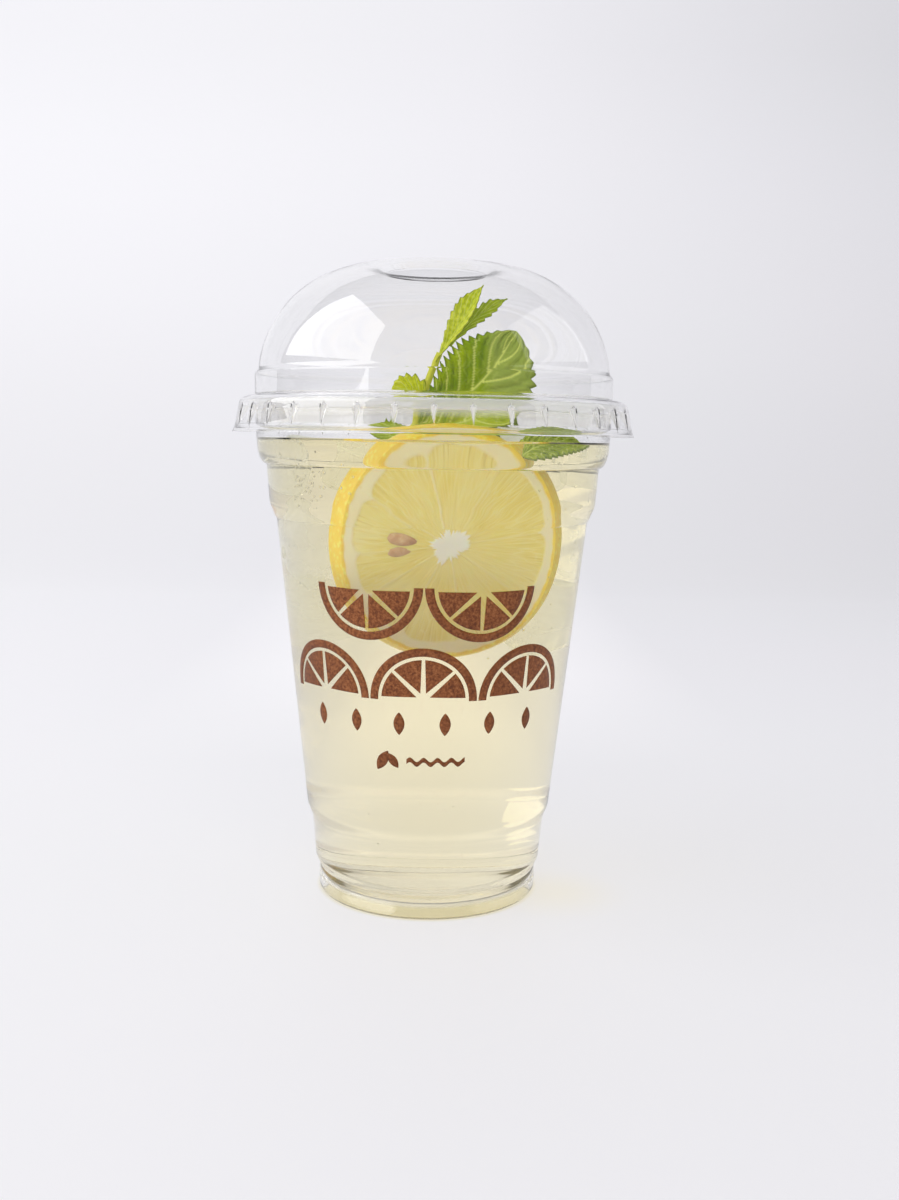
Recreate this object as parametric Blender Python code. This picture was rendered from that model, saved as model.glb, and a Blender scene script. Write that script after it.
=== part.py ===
"""Lemonade with a lemon slice, mint and ice in a clear cup with a domed lid.

Metres, +Z up. The origin is under the middle of the cup, on the surface it stands on,
and -Y is the front. Run with: blender --background --python part.py
"""
import math
import random

import bmesh
import bpy
from mathutils import Matrix, Vector

MM = 0.001
GAP = 0.3 * MM  # left between pieces that touch

# Cup: a turned shell
CUP_COLUMNS = 48
CUP_WALL = 0.7 * MM
FOOT_INNER_RADIUS = 26.4 * MM
FOOT_OUTER_RADIUS = 28.2 * MM
FOOT_ROUND_RADIUS = 28.7 * MM
FOOT_ROUND_HEIGHT = 0.9 * MM
FOOT_TOP = 5.0 * MM
PUNT_RADIUS = 24.6 * MM  # the raised middle of the underside
PUNT_HEIGHT = 3.2 * MM
FLOOR_HEIGHT = 4.3 * MM
FLOOR_RADIUS = 26.0 * MM
# Each widening of the wall: lower radius, lower height, upper radius, upper height, and
# how much of a ledge it is, from 0 for a soft S to 1 for a quarter round
CUP_STEPS = (
    (28.45 * MM, 6.2 * MM, 29.7 * MM, 9.3 * MM, 0.5),
    (30.65 * MM, 19.6 * MM, 32.05 * MM, 24.0 * MM, 0.5),
    (40.0 * MM, 97.4 * MM, 41.9 * MM, 102.4 * MM, 0.4),
    (42.55 * MM, 111.0 * MM, 45.0 * MM, 117.0 * MM, 1.0),
)
COLLAR_RADIUS = 45.25 * MM
RIM_RADIUS = 45.75 * MM  # middle of the rolled rim
RIM_HEIGHT = 125.7 * MM
RIM_ROLL = 1.4 * MM
RIM_CORNERS = (-50, 20, 90)  # degrees round the roll, from below to the top
COLLAR_CORNER = -110

# Lid: a turned sheet with pleats round its skirt
SHEET = 0.5 * MM
PLEATS = 36
PLEAT_HALF_ANGLE = math.radians(1.0)
LIP_RADIUS = 51.05 * MM
LIP_BOTTOM = 118.9 * MM
LIP_TOP = 119.4 * MM
# Skirt rows: radius, height, how far a pleat runs in
SKIRT_ROWS = (
    (50.55 * MM, 120.2 * MM, 0.0),
    (49.65 * MM, 124.6 * MM, 1.8 * MM),
    (49.4 * MM, 125.9 * MM, 1.1 * MM),
)
BEAD_RADIUS = 49.3 * MM
BEAD_HEIGHT = 126.15 * MM
BEAD_TOP_RADIUS = 46.2 * MM
BEAD_TOP = 127.9 * MM
BEAD_CORNERS = (0, 50, 90)  # degrees round the bead, from its side to its top
LID_COLLAR_RADIUS = 45.45 * MM
LID_COLLAR_FOOT = 128.4 * MM
LID_COLLAR_TOP = 133.4 * MM
DOME_RADIUS = 44.5 * MM
DOME_FOOT = 134.4 * MM
DOME_RISE = 27.4 * MM
DOME_BULGE = 0.61  # below 1 the side is fuller than an ellipse
DOME_SHOULDER = 1.2
DOME_ROWS = 5
CREST_RADIUS = 17.0 * MM
HOLE_RADIUS = 12.75 * MM
HOLE_HEIGHT = 159.3 * MM

# Drink
DRINK_LEVEL = 117.0 * MM

# Lemon slice: an upright wheel near the front of the cup
LEMON_CENTRE = (3.9 * MM, -26.2 * MM, 93.2 * MM)
LEMON_TURN = math.radians(8.5)  # the face looks to the right
LEMON_TILT = math.radians(7.0)  # the top leans forward, along the wall
LEMON_HALF_WIDTH = 26.3 * MM
LEMON_HALF_HEIGHT = 28.7 * MM
LEMON_THICKNESS = 7.0 * MM
LEMON_FACE_INSET = 2.0 * MM  # the front cut is smaller than the back one
LEMON_RIND = 4.4 * MM
LEMON_SEGMENTS = 9
LEMON_CORE = 3.0 * MM
LEMON_RELIEF = 0.35 * MM  # how far the pulp lies below its membranes
LEMON_RELIEF_EDGE = 0.6 * MM
LEMON_BELLY = 0.85  # how deep the widest outline lies, as a share of the thickness
LEMON_BACK_INSET = 0.5 * MM
LEMON_FIRST_MEMBRANE = 0.1  # of a segment's turn

# Mint
LEAF_THICKNESS = 0.45 * MM
STEM_RADIUS = 1.1 * MM
STEM_SIDES = 8
STEM_TAPER = 0.35
STEM_PATH = (
    (-10.5 * MM, -8.0 * MM, 99.0 * MM),
    (-7.4 * MM, -8.4 * MM, 112.0 * MM),
    (-4.5 * MM, -8.8 * MM, 122.5 * MM),
    (-2.4 * MM, -9.0 * MM, 129.5 * MM),
    (-0.7 * MM, -9.0 * MM, 134.5 * MM),
    (1.2 * MM, -9.0 * MM, 139.0 * MM),
)
# Each leaf: name, base, bend and tip of the midrib, the way its face looks,
# half widths left and right, how far each half folds up, rows along, columns across
SPRIG_LEAVES = (
    ("tall", (0.3, -9.2, 136.9), (4.6, -10.8, 146.6), (11.3, -9.8, 155.3), (-0.45, -0.85, 0.1),
     2.9, 3.4, 0.9, 0.7, 9, 4),
    ("second", (0.7, -8.6, 137.9), (8.2, -7.4, 145.8), (17.0, -6.3, 152.5), (0.35, -0.8, 0.35),
     2.9, 2.6, 0.5, 0.4, 8, 4),
    ("broad", (-4.4, -8.9, 122.5), (10.5, -14.5, 125.8), (19.6, -12.0, 145.0), (0.1, -1.0, 0.12),
     11.6, 11.6, 0.3, -0.12, 10, 6),
    ("left", (-3.0, -8.9, 127.2), (-6.5, -11.5, 130.6), (-11.0, -11.5, 129.1), (-0.1, -1.0, 0.25),
     4.8, 3.6, 0.15, 0.2, 7, 4),
    ("low_left", (-6.4, -8.6, 115.9), (-10.0, -9.5, 119.8), (-16.4, -8.0, 120.8), (0.0, -0.8, 0.6),
     3.2, 4.4, 0.25, 0.1, 6, 4),
    ("low_right", (-5.0, -8.8, 120.6), (6.0, -13.5, 123.4), (21.5, -15.0, 124.4), (0.1, -0.9, 0.4),
     4.6, 4.4, 0.25, 0.1, 6, 4),
)
LOOSE_LEAF = (
    "loose", (19.5, -30.0, 114.8), (26.0, -30.5, 118.8), (35.5, -18.0, 117.6), (0.25, -0.75, 0.62),
    4.0, 4.6, 0.3, 0.2, 8, 4)
PETIOLE = 0.55 * MM  # half width where the blade meets its stem
TOOTH = 0.06  # share of the half width by which rows step in and out
LEAF_WAVE = 0.35 * MM
WAVES_ALONG = 1.1
BLADE_SKEW = 1.1  # above 1 the widest place is nearer the tip
BLADE_FULLNESS = 0.65

# Ice: name, middle, size, turn about X, Y and Z in degrees
ICE = (
    ("ice_cube_right", (17.5, 0.0, 113.2), (15.5, 13.0, 15.6), (12, -9, 28)),
    ("ice_cube_far_right", (29.6, 14.6, 112.6), (11.5, 11.5, 13.0), (-8, 12, -20)),
    ("ice_cube_left", (-32.0, -4.0, 111.4), (14.0, 13.0, 13.5), (14, 8, 12)),
    ("ice_cube_back", (-8.5, 22.0, 111.0), (18.0, 16.5, 15.5), (-8, 12, -24)),
)
ICE_ROUNDING = 0.22
ICE_CORNER_REACH = 1.25  # of the half size, where a corner is drawn to
ICE_UNEVENNESS = 0.35 * MM
ICE_GAP = 1.2 * GAP

PLASTIC_COLOUR = (0.93, 0.94, 0.95, 0.35)
DRINK_COLOUR = (0.88, 0.80, 0.48, 1.0)
LEMON_COLOUR = (0.92, 0.72, 0.12, 1.0)
MINT_COLOUR = (0.19, 0.42, 0.04, 1.0)
ICE_COLOUR = (0.85, 0.89, 0.87, 1.0)


def clear_scene():
    for item in list(bpy.data.objects):
        bpy.data.objects.remove(item, do_unlink=True)


def material(name, colour, roughness, transmission=0.0):
    surface = bpy.data.materials.new(name)
    surface.use_nodes = True
    shader = surface.node_tree.nodes["Principled BSDF"]
    shader.inputs["Base Color"].default_value = (*colour[:3], 1.0)
    shader.inputs["Alpha"].default_value = colour[3]
    shader.inputs["Roughness"].default_value = roughness
    shader.inputs["Metallic"].default_value = 0.0
    shader.inputs["Transmission Weight"].default_value = transmission
    surface.diffuse_color = colour
    return surface


def add_object(name, bm, surface, smooth_angle=35):
    bmesh.ops.recalc_face_normals(bm, faces=bm.faces)
    mesh = bpy.data.meshes.new(name)
    bm.to_mesh(mesh)
    bm.free()
    mesh.materials.append(surface)
    mesh.shade_smooth()
    mesh.set_sharp_from_angle(angle=math.radians(smooth_angle))
    item = bpy.data.objects.new(name, mesh)
    bpy.context.scene.collection.objects.link(item)
    return item


def ring(bm, radius, height, angles):
    """One circle of a turned shape; radius may be a function of the column's index."""
    if not callable(radius) and radius == 0:
        return [bm.verts.new((0, 0, height))]
    verts = []
    for index, angle in enumerate(angles):
        reach = radius(index) if callable(radius) else radius
        verts.append(bm.verts.new((reach * math.cos(angle), reach * math.sin(angle), height)))
    return verts


def join_rings(bm, lower, upper):
    """Faces between two rings that match, differ two to one, or end in a point."""
    if len(lower) < len(upper):
        lower, upper = upper, lower
    count = len(lower)
    if len(upper) == 1:
        for i in range(count):
            bm.faces.new((lower[i], lower[(i + 1) % count], upper[0]))
    elif len(upper) == count:
        for i in range(count):
            j = (i + 1) % count
            bm.faces.new((lower[i], lower[j], upper[j], upper[i]))
    else:
        half = len(upper)
        for i in range(half):
            a, b, c = lower[2 * i], lower[2 * i + 1], lower[(2 * i + 2) % count]
            d, e = upper[i], upper[(i + 1) % half]
            bm.faces.new((a, b, d))
            bm.faces.new((b, e, d))
            bm.faces.new((b, c, e))


def turned(bm, outline, columns):
    """A turned body from an outline of radius and height that starts and ends on the axis."""
    angles = [2 * math.pi * i / columns for i in range(columns)]
    rings = [ring(bm, radius, height, angles) for radius, height in outline]
    for lower, upper in zip(rings, rings[1:]):
        join_rings(bm, lower, upper)


def eased(start, end, steps, ledge):
    """Points from start to end, without the start, between a soft S and a quarter round."""
    points = []
    for i in range(1, steps + 1):
        t = i / steps
        soft = t * t * (3 - 2 * t)
        quarter = math.sqrt(1 - (1 - t) ** 2)
        share = ledge * quarter + (1 - ledge) * soft
        points.append((start[0] + (end[0] - start[0]) * share, start[1] + (end[1] - start[1]) * t))
    return points


def wall_outline(inset, steps=1):
    """The stepped wall from the groove to the collar, moved in by inset."""
    points = []
    for low_radius, low, high_radius, high, ledge in CUP_STEPS:
        start = (low_radius - inset, low)
        points.append(start)
        points.extend(eased(start, (high_radius - inset, high), steps, ledge))
    return points


def rim_point(degrees):
    angle = math.radians(degrees)
    return RIM_RADIUS + RIM_ROLL * math.cos(angle), RIM_HEIGHT + RIM_ROLL * math.sin(angle)


def cup_outline():
    outside = [(0, PUNT_HEIGHT), (PUNT_RADIUS, PUNT_HEIGHT), (FOOT_INNER_RADIUS, 0)]
    outside.append((FOOT_OUTER_RADIUS, 0))
    outside.append((FOOT_ROUND_RADIUS, FOOT_ROUND_HEIGHT))
    outside.append((FOOT_ROUND_RADIUS, FOOT_TOP))
    outside.extend(wall_outline(0, 3))
    outside.append((COLLAR_RADIUS, rim_point(COLLAR_CORNER)[1]))
    outside.extend(rim_point(degrees) for degrees in RIM_CORNERS)
    inside = [(0, FLOOR_HEIGHT), (FLOOR_RADIUS, FLOOR_HEIGHT)]
    inside.extend(wall_outline(CUP_WALL))
    inside.append((COLLAR_RADIUS - CUP_WALL, RIM_HEIGHT))
    return outside + inside[::-1]


def make_cup(surface):
    bm = bmesh.new()
    turned(bm, cup_outline(), CUP_COLUMNS)
    return add_object("cup", bm, surface)


def dome_point(share, inset):
    """A point of the dome's profile; share runs from 0 at its foot to 1 at the crest."""
    crest = math.acos((CREST_RADIUS / DOME_RADIUS) ** (1 / DOME_BULGE))
    angle = share * crest
    radius = (DOME_RADIUS - inset) * math.cos(angle) ** DOME_BULGE
    height = DOME_FOOT + (DOME_RISE - inset) * math.sin(angle) ** DOME_SHOULDER
    return radius, height


def lid_outline(inset):
    """The sheet's outer side from the bead to the straw hole, or its inner side."""
    points = []
    for degrees in BEAD_CORNERS:
        angle = math.radians(degrees)
        radius = BEAD_TOP_RADIUS + (BEAD_RADIUS - BEAD_TOP_RADIUS - inset) * math.cos(angle)
        height = BEAD_HEIGHT + (BEAD_TOP - BEAD_HEIGHT - inset) * math.sin(angle)
        points.append((radius, height))
    if inset:
        points.append((LID_COLLAR_RADIUS - inset, BEAD_TOP - inset))
    else:
        points.append((LID_COLLAR_RADIUS, LID_COLLAR_FOOT))
    points.append((LID_COLLAR_RADIUS - inset, LID_COLLAR_TOP))
    points.extend(dome_point(i / DOME_ROWS, inset) for i in range(DOME_ROWS + 1))
    points.append((HOLE_RADIUS, HOLE_HEIGHT - inset))
    return points


def make_lid(surface):
    pitch = 2 * math.pi / PLEATS
    fine = []
    for i in range(PLEATS):
        fine.extend(i * pitch + turn for turn in (0, PLEAT_HALF_ANGLE, pitch / 2, pitch - PLEAT_HALF_ANGLE))
    coarse = [i * pitch / 2 for i in range(2 * PLEATS)]
    bm = bmesh.new()

    def skirt(inset, rows):
        rings = []
        for radius, height, depth in rows:
            rings.append(ring(bm, lambda i: radius - inset - (0 if i % 4 else depth), height, fine))
        return rings

    outer = [ring(bm, LIP_RADIUS, LIP_BOTTOM, fine), ring(bm, LIP_RADIUS, LIP_TOP, fine)]
    outer.extend(skirt(0, SKIRT_ROWS))
    outer.extend(ring(bm, radius, height, coarse) for radius, height in lid_outline(0))
    inner = [ring(bm, SKIRT_ROWS[0][0] - SHEET, LIP_BOTTOM, fine)]
    inner.extend(skirt(SHEET, SKIRT_ROWS[1:]))
    inner.extend(ring(bm, radius, height, coarse) for radius, height in lid_outline(SHEET))
    rings = outer + inner[::-1]
    for lower, upper in zip(rings, rings[1:]):
        join_rings(bm, lower, upper)
    join_rings(bm, rings[0], rings[-1])
    return add_object("lid", bm, surface)


def lemon_bmesh(grow):
    """The slice in place; a grown one is the hole that it leaves in the drink."""
    columns = LEMON_SEGMENTS * 4
    last = LEMON_THICKNESS
    relief = 0 if grow else LEMON_RELIEF
    # Each ring: inset from the widest outline, depth, share of the segment relief
    rows = [
        (LEMON_FACE_INSET, 0, 0),
        (LEMON_FACE_INSET / 3, last * LEMON_BELLY / 2, 0),
        (0, last * LEMON_BELLY, 0),
        (LEMON_BACK_INSET, last, 0),
    ]
    if not grow:
        pulp = LEMON_FACE_INSET + LEMON_RIND
        rows = [(pulp + LEMON_RELIEF_EDGE, 0, 1), (pulp, 0, 0), *rows]
        rows += [(LEMON_RIND, last, 0), (LEMON_RIND + LEMON_RELIEF_EDGE, last, -1)]
    bm = bmesh.new()
    rings = []

    def place(across, up, depth):
        shift = grow if depth > last / 2 else -grow
        return bm.verts.new((across, depth + shift, up))

    def circle(half_width, half_height, depth, share):
        verts = []
        for i in range(columns):
            angle = 2 * math.pi * (i / 4 + LEMON_FIRST_MEMBRANE) / LEMON_SEGMENTS
            sunk = relief * share * (0 if i % 4 == 0 else 1)
            across = half_width * math.cos(angle)
            verts.append(place(across, half_height * math.sin(angle), depth + sunk))
        return verts

    core = LEMON_CORE
    rings.append([place(0, 0, 0)])
    if not grow:
        rings.append(circle(core, core, 0, 0))
    for inset, depth, share in rows:
        half_width = LEMON_HALF_WIDTH - inset + grow
        half_height = LEMON_HALF_HEIGHT - inset + grow
        rings.append(circle(half_width, half_height, depth, share))
    if not grow:
        rings.append(circle(core, core, last, 0))
    rings.append([place(0, 0, last)])
    for lower, upper in zip(rings, rings[1:]):
        join_rings(bm, lower, upper)
    turn = Matrix.Rotation(LEMON_TURN, 4, "Z") @ Matrix.Rotation(LEMON_TILT, 4, "X")
    bmesh.ops.transform(bm, matrix=Matrix.Translation(LEMON_CENTRE) @ turn, verts=bm.verts)
    bmesh.ops.triangulate(bm, faces=bm.faces)
    return bm


def leaf_blade_width(t):
    """Share of the full half width at t along the midrib."""
    return math.sin(math.pi * t ** BLADE_SKEW) ** BLADE_FULLNESS if 0 < t < 1 else 0


def leaf_bmesh(bm, leaf, grow=0.0):
    """A thin wavy blade whose two faces are split into triangles alike."""
    _, base, bend, tip, face, left, right, fold_left, fold_right, rows, columns = leaf
    base, bend, tip = (Vector(point) * MM for point in (base, bend, tip))
    face = Vector(face).normalized()
    half = LEAF_THICKNESS / 2 + grow
    upper = []
    lower = []
    for row in range(rows + 1):
        t = row / rows
        spine = base * (1 - t) ** 2 + bend * 2 * t * (1 - t) + tip * t * t
        along = ((bend - base) * (1 - t) + (tip - bend) * t).normalized()
        side = along.cross(face).normalized()
        out = side.cross(along)
        spine = spine + along * grow * (2 * t - 1)
        tooth = 1 + TOOTH * (1 if row % 2 else -1)
        upper.append([])
        lower.append([])
        for column in range(columns + 1):
            s = 2 * column / columns - 1
            width = left if s < 0 else right
            fold = fold_left if s < 0 else fold_right
            reach = max(PETIOLE * (1 - 0.4 * t), width * MM * leaf_blade_width(t) * tooth) + grow
            lift = math.sin(fold) * reach + LEAF_WAVE * math.sin(2 * math.pi * WAVES_ALONG * t + 2 * s)
            spread = side * (s * reach * math.cos(fold))
            point = spine + spread + out * lift * abs(s)
            upper[-1].append(bm.verts.new(point + out * half))
            lower[-1].append(bm.verts.new(point - out * half))

    def split(a, b, c, d):
        bm.faces.new((a, b, c))
        bm.faces.new((a, c, d))

    for i in range(rows):
        for j in range(columns):
            split(upper[i][j], upper[i][j + 1], upper[i + 1][j + 1], upper[i + 1][j])
            split(lower[i][j], lower[i][j + 1], lower[i + 1][j + 1], lower[i + 1][j])
        for j in (0, columns):
            split(upper[i][j], upper[i + 1][j], lower[i + 1][j], lower[i][j])
    for j in range(columns):
        for i in (0, rows):
            split(upper[i][j], upper[i][j + 1], lower[i][j + 1], lower[i][j])


def stem_bmesh(grow):
    """A tapering stalk along its path."""
    bm = bmesh.new()
    points = [Vector(point) for point in STEM_PATH]
    rings = []
    for index, point in enumerate(points):
        ahead = points[min(index + 1, len(points) - 1)]
        behind = points[max(index - 1, 0)]
        along = (ahead - behind).normalized()
        side = along.cross(Vector((0, 1, 0))).normalized()
        front = along.cross(side)
        radius = STEM_RADIUS * (1 - STEM_TAPER * index / (len(points) - 1)) + grow
        verts = []
        for i in range(STEM_SIDES):
            angle = 2 * math.pi * i / STEM_SIDES
            offset = side * math.cos(angle) * radius + front * math.sin(angle) * radius
            verts.append(bm.verts.new(point + offset))
        rings.append(verts)
    for lower, upper in zip(rings, rings[1:]):
        join_rings(bm, lower, upper)
    bm.faces.new(rings[0])
    bm.faces.new(rings[-1])
    return bm


def hide(item):
    item.hide_render = True
    item.display_type = "WIRE"
    return item


def add_boolean(item, operation, tools, solver="EXACT"):
    """A Boolean with all the tools in one collection."""
    group = bpy.data.collections.new(item.name + "_" + operation.lower())
    bpy.context.scene.collection.children.link(group)
    for tool in tools:
        bpy.context.scene.collection.objects.unlink(tool)
        group.objects.link(hide(tool))
    modifier = item.modifiers.new(operation.title(), "BOOLEAN")
    modifier.operation = operation
    modifier.operand_type = "COLLECTION"
    modifier.collection = group
    modifier.solver = solver


def make_sprig(surface):
    sprig = add_object("mint_sprig", stem_bmesh(0), surface)
    blades = []
    for leaf in SPRIG_LEAVES:
        bm = bmesh.new()
        leaf_bmesh(bm, leaf)
        blades.append(add_object("blade_" + leaf[0], bm, surface))
    add_boolean(sprig, "UNION", blades, "MANIFOLD")
    return sprig


def ice_bmesh(seed, middle, size, turns, grow=0.0):
    """A cube with soft corners and slightly uneven sides."""
    bm = bmesh.new()
    bmesh.ops.create_cube(bm, size=2)
    bmesh.ops.subdivide_edges(bm, edges=bm.edges, cuts=2, use_grid_fill=True)
    draw = random.Random(seed)
    for vert in bm.verts:
        rounded = vert.co.normalized() * ICE_CORNER_REACH
        shape = vert.co.lerp(rounded, ICE_ROUNDING)
        extent = Vector((shape[k] * size[k] * MM / 2 for k in range(3)))
        uneven = Vector((draw.uniform(-1, 1) for _ in range(3))) * ICE_UNEVENNESS
        away = Vector((math.copysign(min(1, abs(vert.co[k])), vert.co[k]) for k in range(3)))
        vert.co = extent + uneven + away * grow
    turn = Matrix.Identity(4)
    for axis, degrees in zip("XYZ", turns):
        turn = Matrix.Rotation(math.radians(degrees), 4, axis) @ turn
    centre = Matrix.Translation(Vector(middle) * MM)
    bmesh.ops.transform(bm, matrix=centre @ turn, verts=bm.verts)
    bmesh.ops.triangulate(bm, faces=bm.faces)
    return bm


def make_drink(surface):
    inset = CUP_WALL + GAP
    outline = [(0, FLOOR_HEIGHT + GAP), (FLOOR_RADIUS - GAP, FLOOR_HEIGHT + GAP)]
    outline.extend(point for point in wall_outline(inset) if point[1] < DRINK_LEVEL)
    outline.append((CUP_STEPS[-1][2] - inset, DRINK_LEVEL))
    outline.append((0, DRINK_LEVEL))
    bm = bmesh.new()
    turned(bm, outline, CUP_COLUMNS)
    drink = add_object("lemonade", bm, surface)
    holes = [add_object("hole_lemon", lemon_bmesh(GAP), surface)]
    holes.append(add_object("hole_stem", stem_bmesh(GAP), surface))
    for leaf in (*SPRIG_LEAVES, LOOSE_LEAF):
        if leaf[0] in ("low_left", "loose"):
            bm = bmesh.new()
            leaf_bmesh(bm, leaf, GAP)
            holes.append(add_object("hole_" + leaf[0], bm, surface))
    for seed, (name, *shape) in enumerate(ICE):
        holes.append(add_object("hole_" + name, ice_bmesh(seed, *shape, grow=ICE_GAP), surface))
    add_boolean(drink, "DIFFERENCE", holes)
    return drink


def main():
    clear_scene()
    plastic = material("clear_plastic", PLASTIC_COLOUR, 0.05, 1.0)
    drink = material("lemonade", DRINK_COLOUR, 0.03, 0.8)
    lemon = material("lemon", LEMON_COLOUR, 0.4)
    mint = material("mint", MINT_COLOUR, 0.5)
    ice = material("ice", ICE_COLOUR, 0.1, 0.9)
    make_cup(plastic)
    make_lid(plastic)
    make_drink(drink)
    add_object("lemon_slice", lemon_bmesh(0), lemon)
    make_sprig(mint)
    bm = bmesh.new()
    leaf_bmesh(bm, LOOSE_LEAF)
    add_object("mint_leaf", bm, mint)
    for seed, (name, *shape) in enumerate(ICE):
        add_object(name, ice_bmesh(seed, *shape), ice)


main()
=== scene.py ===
# %% [markdown]
# # A cup of lemonade with a domed lid
#
# The object is a clear plastic takeaway cup of lemonade, with a lemon slice against the front wall, a
# sprig of mint standing up into the domed lid, and ice at the surface. This lesson dresses the packed
# CAD model, piece by piece. Clear things are the hard part: what is seen of a cup is mostly what its
# walls bend and mirror, so the shapes need fine meshes and the light needs a plan.

import math
import random

import bmesh
import bpy
import numpy as np
from mathutils import Matrix, Vector, noise


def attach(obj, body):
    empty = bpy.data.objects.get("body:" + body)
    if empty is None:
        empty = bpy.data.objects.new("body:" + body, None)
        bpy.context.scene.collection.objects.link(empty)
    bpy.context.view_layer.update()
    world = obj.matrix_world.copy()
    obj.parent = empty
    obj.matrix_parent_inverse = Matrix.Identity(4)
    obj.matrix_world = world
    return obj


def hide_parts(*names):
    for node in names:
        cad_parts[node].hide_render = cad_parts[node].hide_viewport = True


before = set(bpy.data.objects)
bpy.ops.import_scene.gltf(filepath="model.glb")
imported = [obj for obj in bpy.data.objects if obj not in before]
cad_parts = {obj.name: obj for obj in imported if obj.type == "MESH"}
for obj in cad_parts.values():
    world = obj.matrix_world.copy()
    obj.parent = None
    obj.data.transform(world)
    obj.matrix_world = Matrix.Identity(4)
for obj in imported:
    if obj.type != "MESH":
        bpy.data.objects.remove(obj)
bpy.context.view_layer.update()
MM = 0.001
scene = bpy.context.scene
print("CAD nodes:", sorted(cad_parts))

# %% [markdown]
# ## Camera
#
# The photograph was taken from about 32 cm, a little above the lid and looking slightly down. A camera
# could be aimed by hand, but here its distance, height and small turns were fitted to the outline of the
# cup, so they are set as one matrix.

# %% Camera
CAMERA_DISTANCE = 0.32435
CAMERA_HEIGHT = 0.11801
CAMERA_YAW, CAMERA_PITCH, CAMERA_ROLL = -0.01488, -0.12842, 0.01731
FOCAL_PIXELS, FRAME_PIXELS = 1250, 1200

camera = bpy.data.objects.new("camera", bpy.data.cameras.new("camera"))
scene.collection.objects.link(camera)
camera.data.sensor_fit = "VERTICAL"
camera.data.sensor_height = 36
camera.data.lens = FOCAL_PIXELS / FRAME_PIXELS * camera.data.sensor_height
camera.data.clip_start = 0.01
camera.matrix_world = (
    Matrix.Translation((0, -CAMERA_DISTANCE, CAMERA_HEIGHT))
    @ Matrix.Rotation(CAMERA_YAW, 4, "Z")
    @ Matrix.Rotation(math.pi / 2 + CAMERA_PITCH, 4, "X")
    @ Matrix.Rotation(CAMERA_ROLL, 4, "Z")
)
scene.camera = camera
scene.view_settings.view_transform = "Standard"
print("lens:", camera.data.lens, "mm")

# %% [markdown]
# ## Helpers for nodes and meshes
#
# Every material below is a small tree of nodes. One helper adds a node with its values and links in one
# call, and another makes a named group whose sockets can be used by several materials.

# %% Node helper
def put(tree, kind, inputs=(), **settings):
    """Adds a node. inputs maps a socket to a value or to the output that feeds it."""
    node = tree.nodes.new(kind)
    for key, value in settings.items():
        setattr(node, key, value)
    for key, value in dict(inputs).items():
        if isinstance(value, bpy.types.NodeSocket):
            tree.links.new(value, node.inputs[key])
        else:
            node.inputs[key].default_value = value
    return node


def group(name, kind, inputs, outputs):
    """A node group with named sockets, and the nodes that stand for its two ends."""
    tree = bpy.data.node_groups.new(name, kind)
    for label, socket, value in inputs:
        made = tree.interface.new_socket(label, in_out="INPUT", socket_type=socket)
        if value is not None:
            made.default_value = value
    for label, socket in outputs:
        tree.interface.new_socket(label, in_out="OUTPUT", socket_type=socket)
    return tree, tree.nodes.new("NodeGroupInput"), tree.nodes.new("NodeGroupOutput")


def ramp(tree, factor, stops):
    """A colour ramp from (place, colour) stops."""
    node = put(tree, "ShaderNodeValToRGB", {"Fac": factor})
    for place, colour in stops[1:-1]:
        node.color_ramp.elements.new(place)
    for element, (place, colour) in zip(node.color_ramp.elements, stops):
        element.position = place
        element.color = (*colour, 1)
    return node.outputs["Color"]


def material(name):
    """A new material, its tree, its Principled shader and its output node."""
    surface = bpy.data.materials.new(name)
    surface.use_nodes = True
    tree = surface.node_tree
    return surface, tree, tree.nodes["Principled BSDF"], tree.nodes["Material Output"]


# %% Mesh helpers
def add_mesh(name, points, faces, surfaces, smooth_angle=None, values=None):
    """A mesh object from points in metres, with values stored on its points by name."""
    mesh = bpy.data.meshes.new(name)
    mesh.from_pydata([tuple(p) for p in points], [], [tuple(f) for f in faces])
    for surface in surfaces:
        mesh.materials.append(surface)
    for key, value in (values or {}).items():
        value = np.asarray(value, np.float32)
        kind, field = ("FLOAT", "value") if value.ndim == 1 else ("FLOAT_VECTOR", "vector")
        mesh.attributes.new(key, kind, "POINT").data.foreach_set(field, value.ravel())
    mesh.validate()
    mesh.shade_smooth()
    if smooth_angle:
        mesh.set_sharp_from_angle(angle=math.radians(smooth_angle))
    item = bpy.data.objects.new(name, mesh)
    scene.collection.objects.link(item)
    return item


def face_outwards(item):
    bm = bmesh.new()
    bm.from_mesh(item.data)
    bmesh.ops.recalc_face_normals(bm, faces=bm.faces)
    bm.to_mesh(item.data)
    bm.free()
    return item


def band(first, second, count):
    """Quads between two rings of point numbers that start at first and second."""
    return [(first + i, first + (i + 1) % count, second + (i + 1) % count, second + i) for i in range(count)]


def turned(name, outline, angles, surfaces, smooth_angle=40):
    """A turned piece. An outline that meets the axis is closed there by a fan."""
    turns = np.array([(math.cos(a), math.sin(a)) for a in angles])
    count = len(angles)
    points, faces, starts = [], [], []
    for radius, height in outline:
        starts.append(len(points))
        if radius < 1e-7:
            points.append((0, 0, height))
        else:
            points.extend((radius * x, radius * y, height) for x, y in turns)
    ends = list(zip(starts, starts[1:], outline, outline[1:]))
    if outline[0][0] > 1e-7:
        ends.append((starts[-1], starts[0], outline[-1], outline[0]))
    for low, high, a, b in ends:
        if a[0] < 1e-7:
            faces.extend((low, high + (i + 1) % count, high + i) for i in range(count))
        elif b[0] < 1e-7:
            faces.extend((low + i, low + (i + 1) % count, high) for i in range(count))
        else:
            faces.extend(band(low, high, count))
    return face_outwards(add_mesh(name, points, faces, surfaces, smooth_angle))


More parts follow.
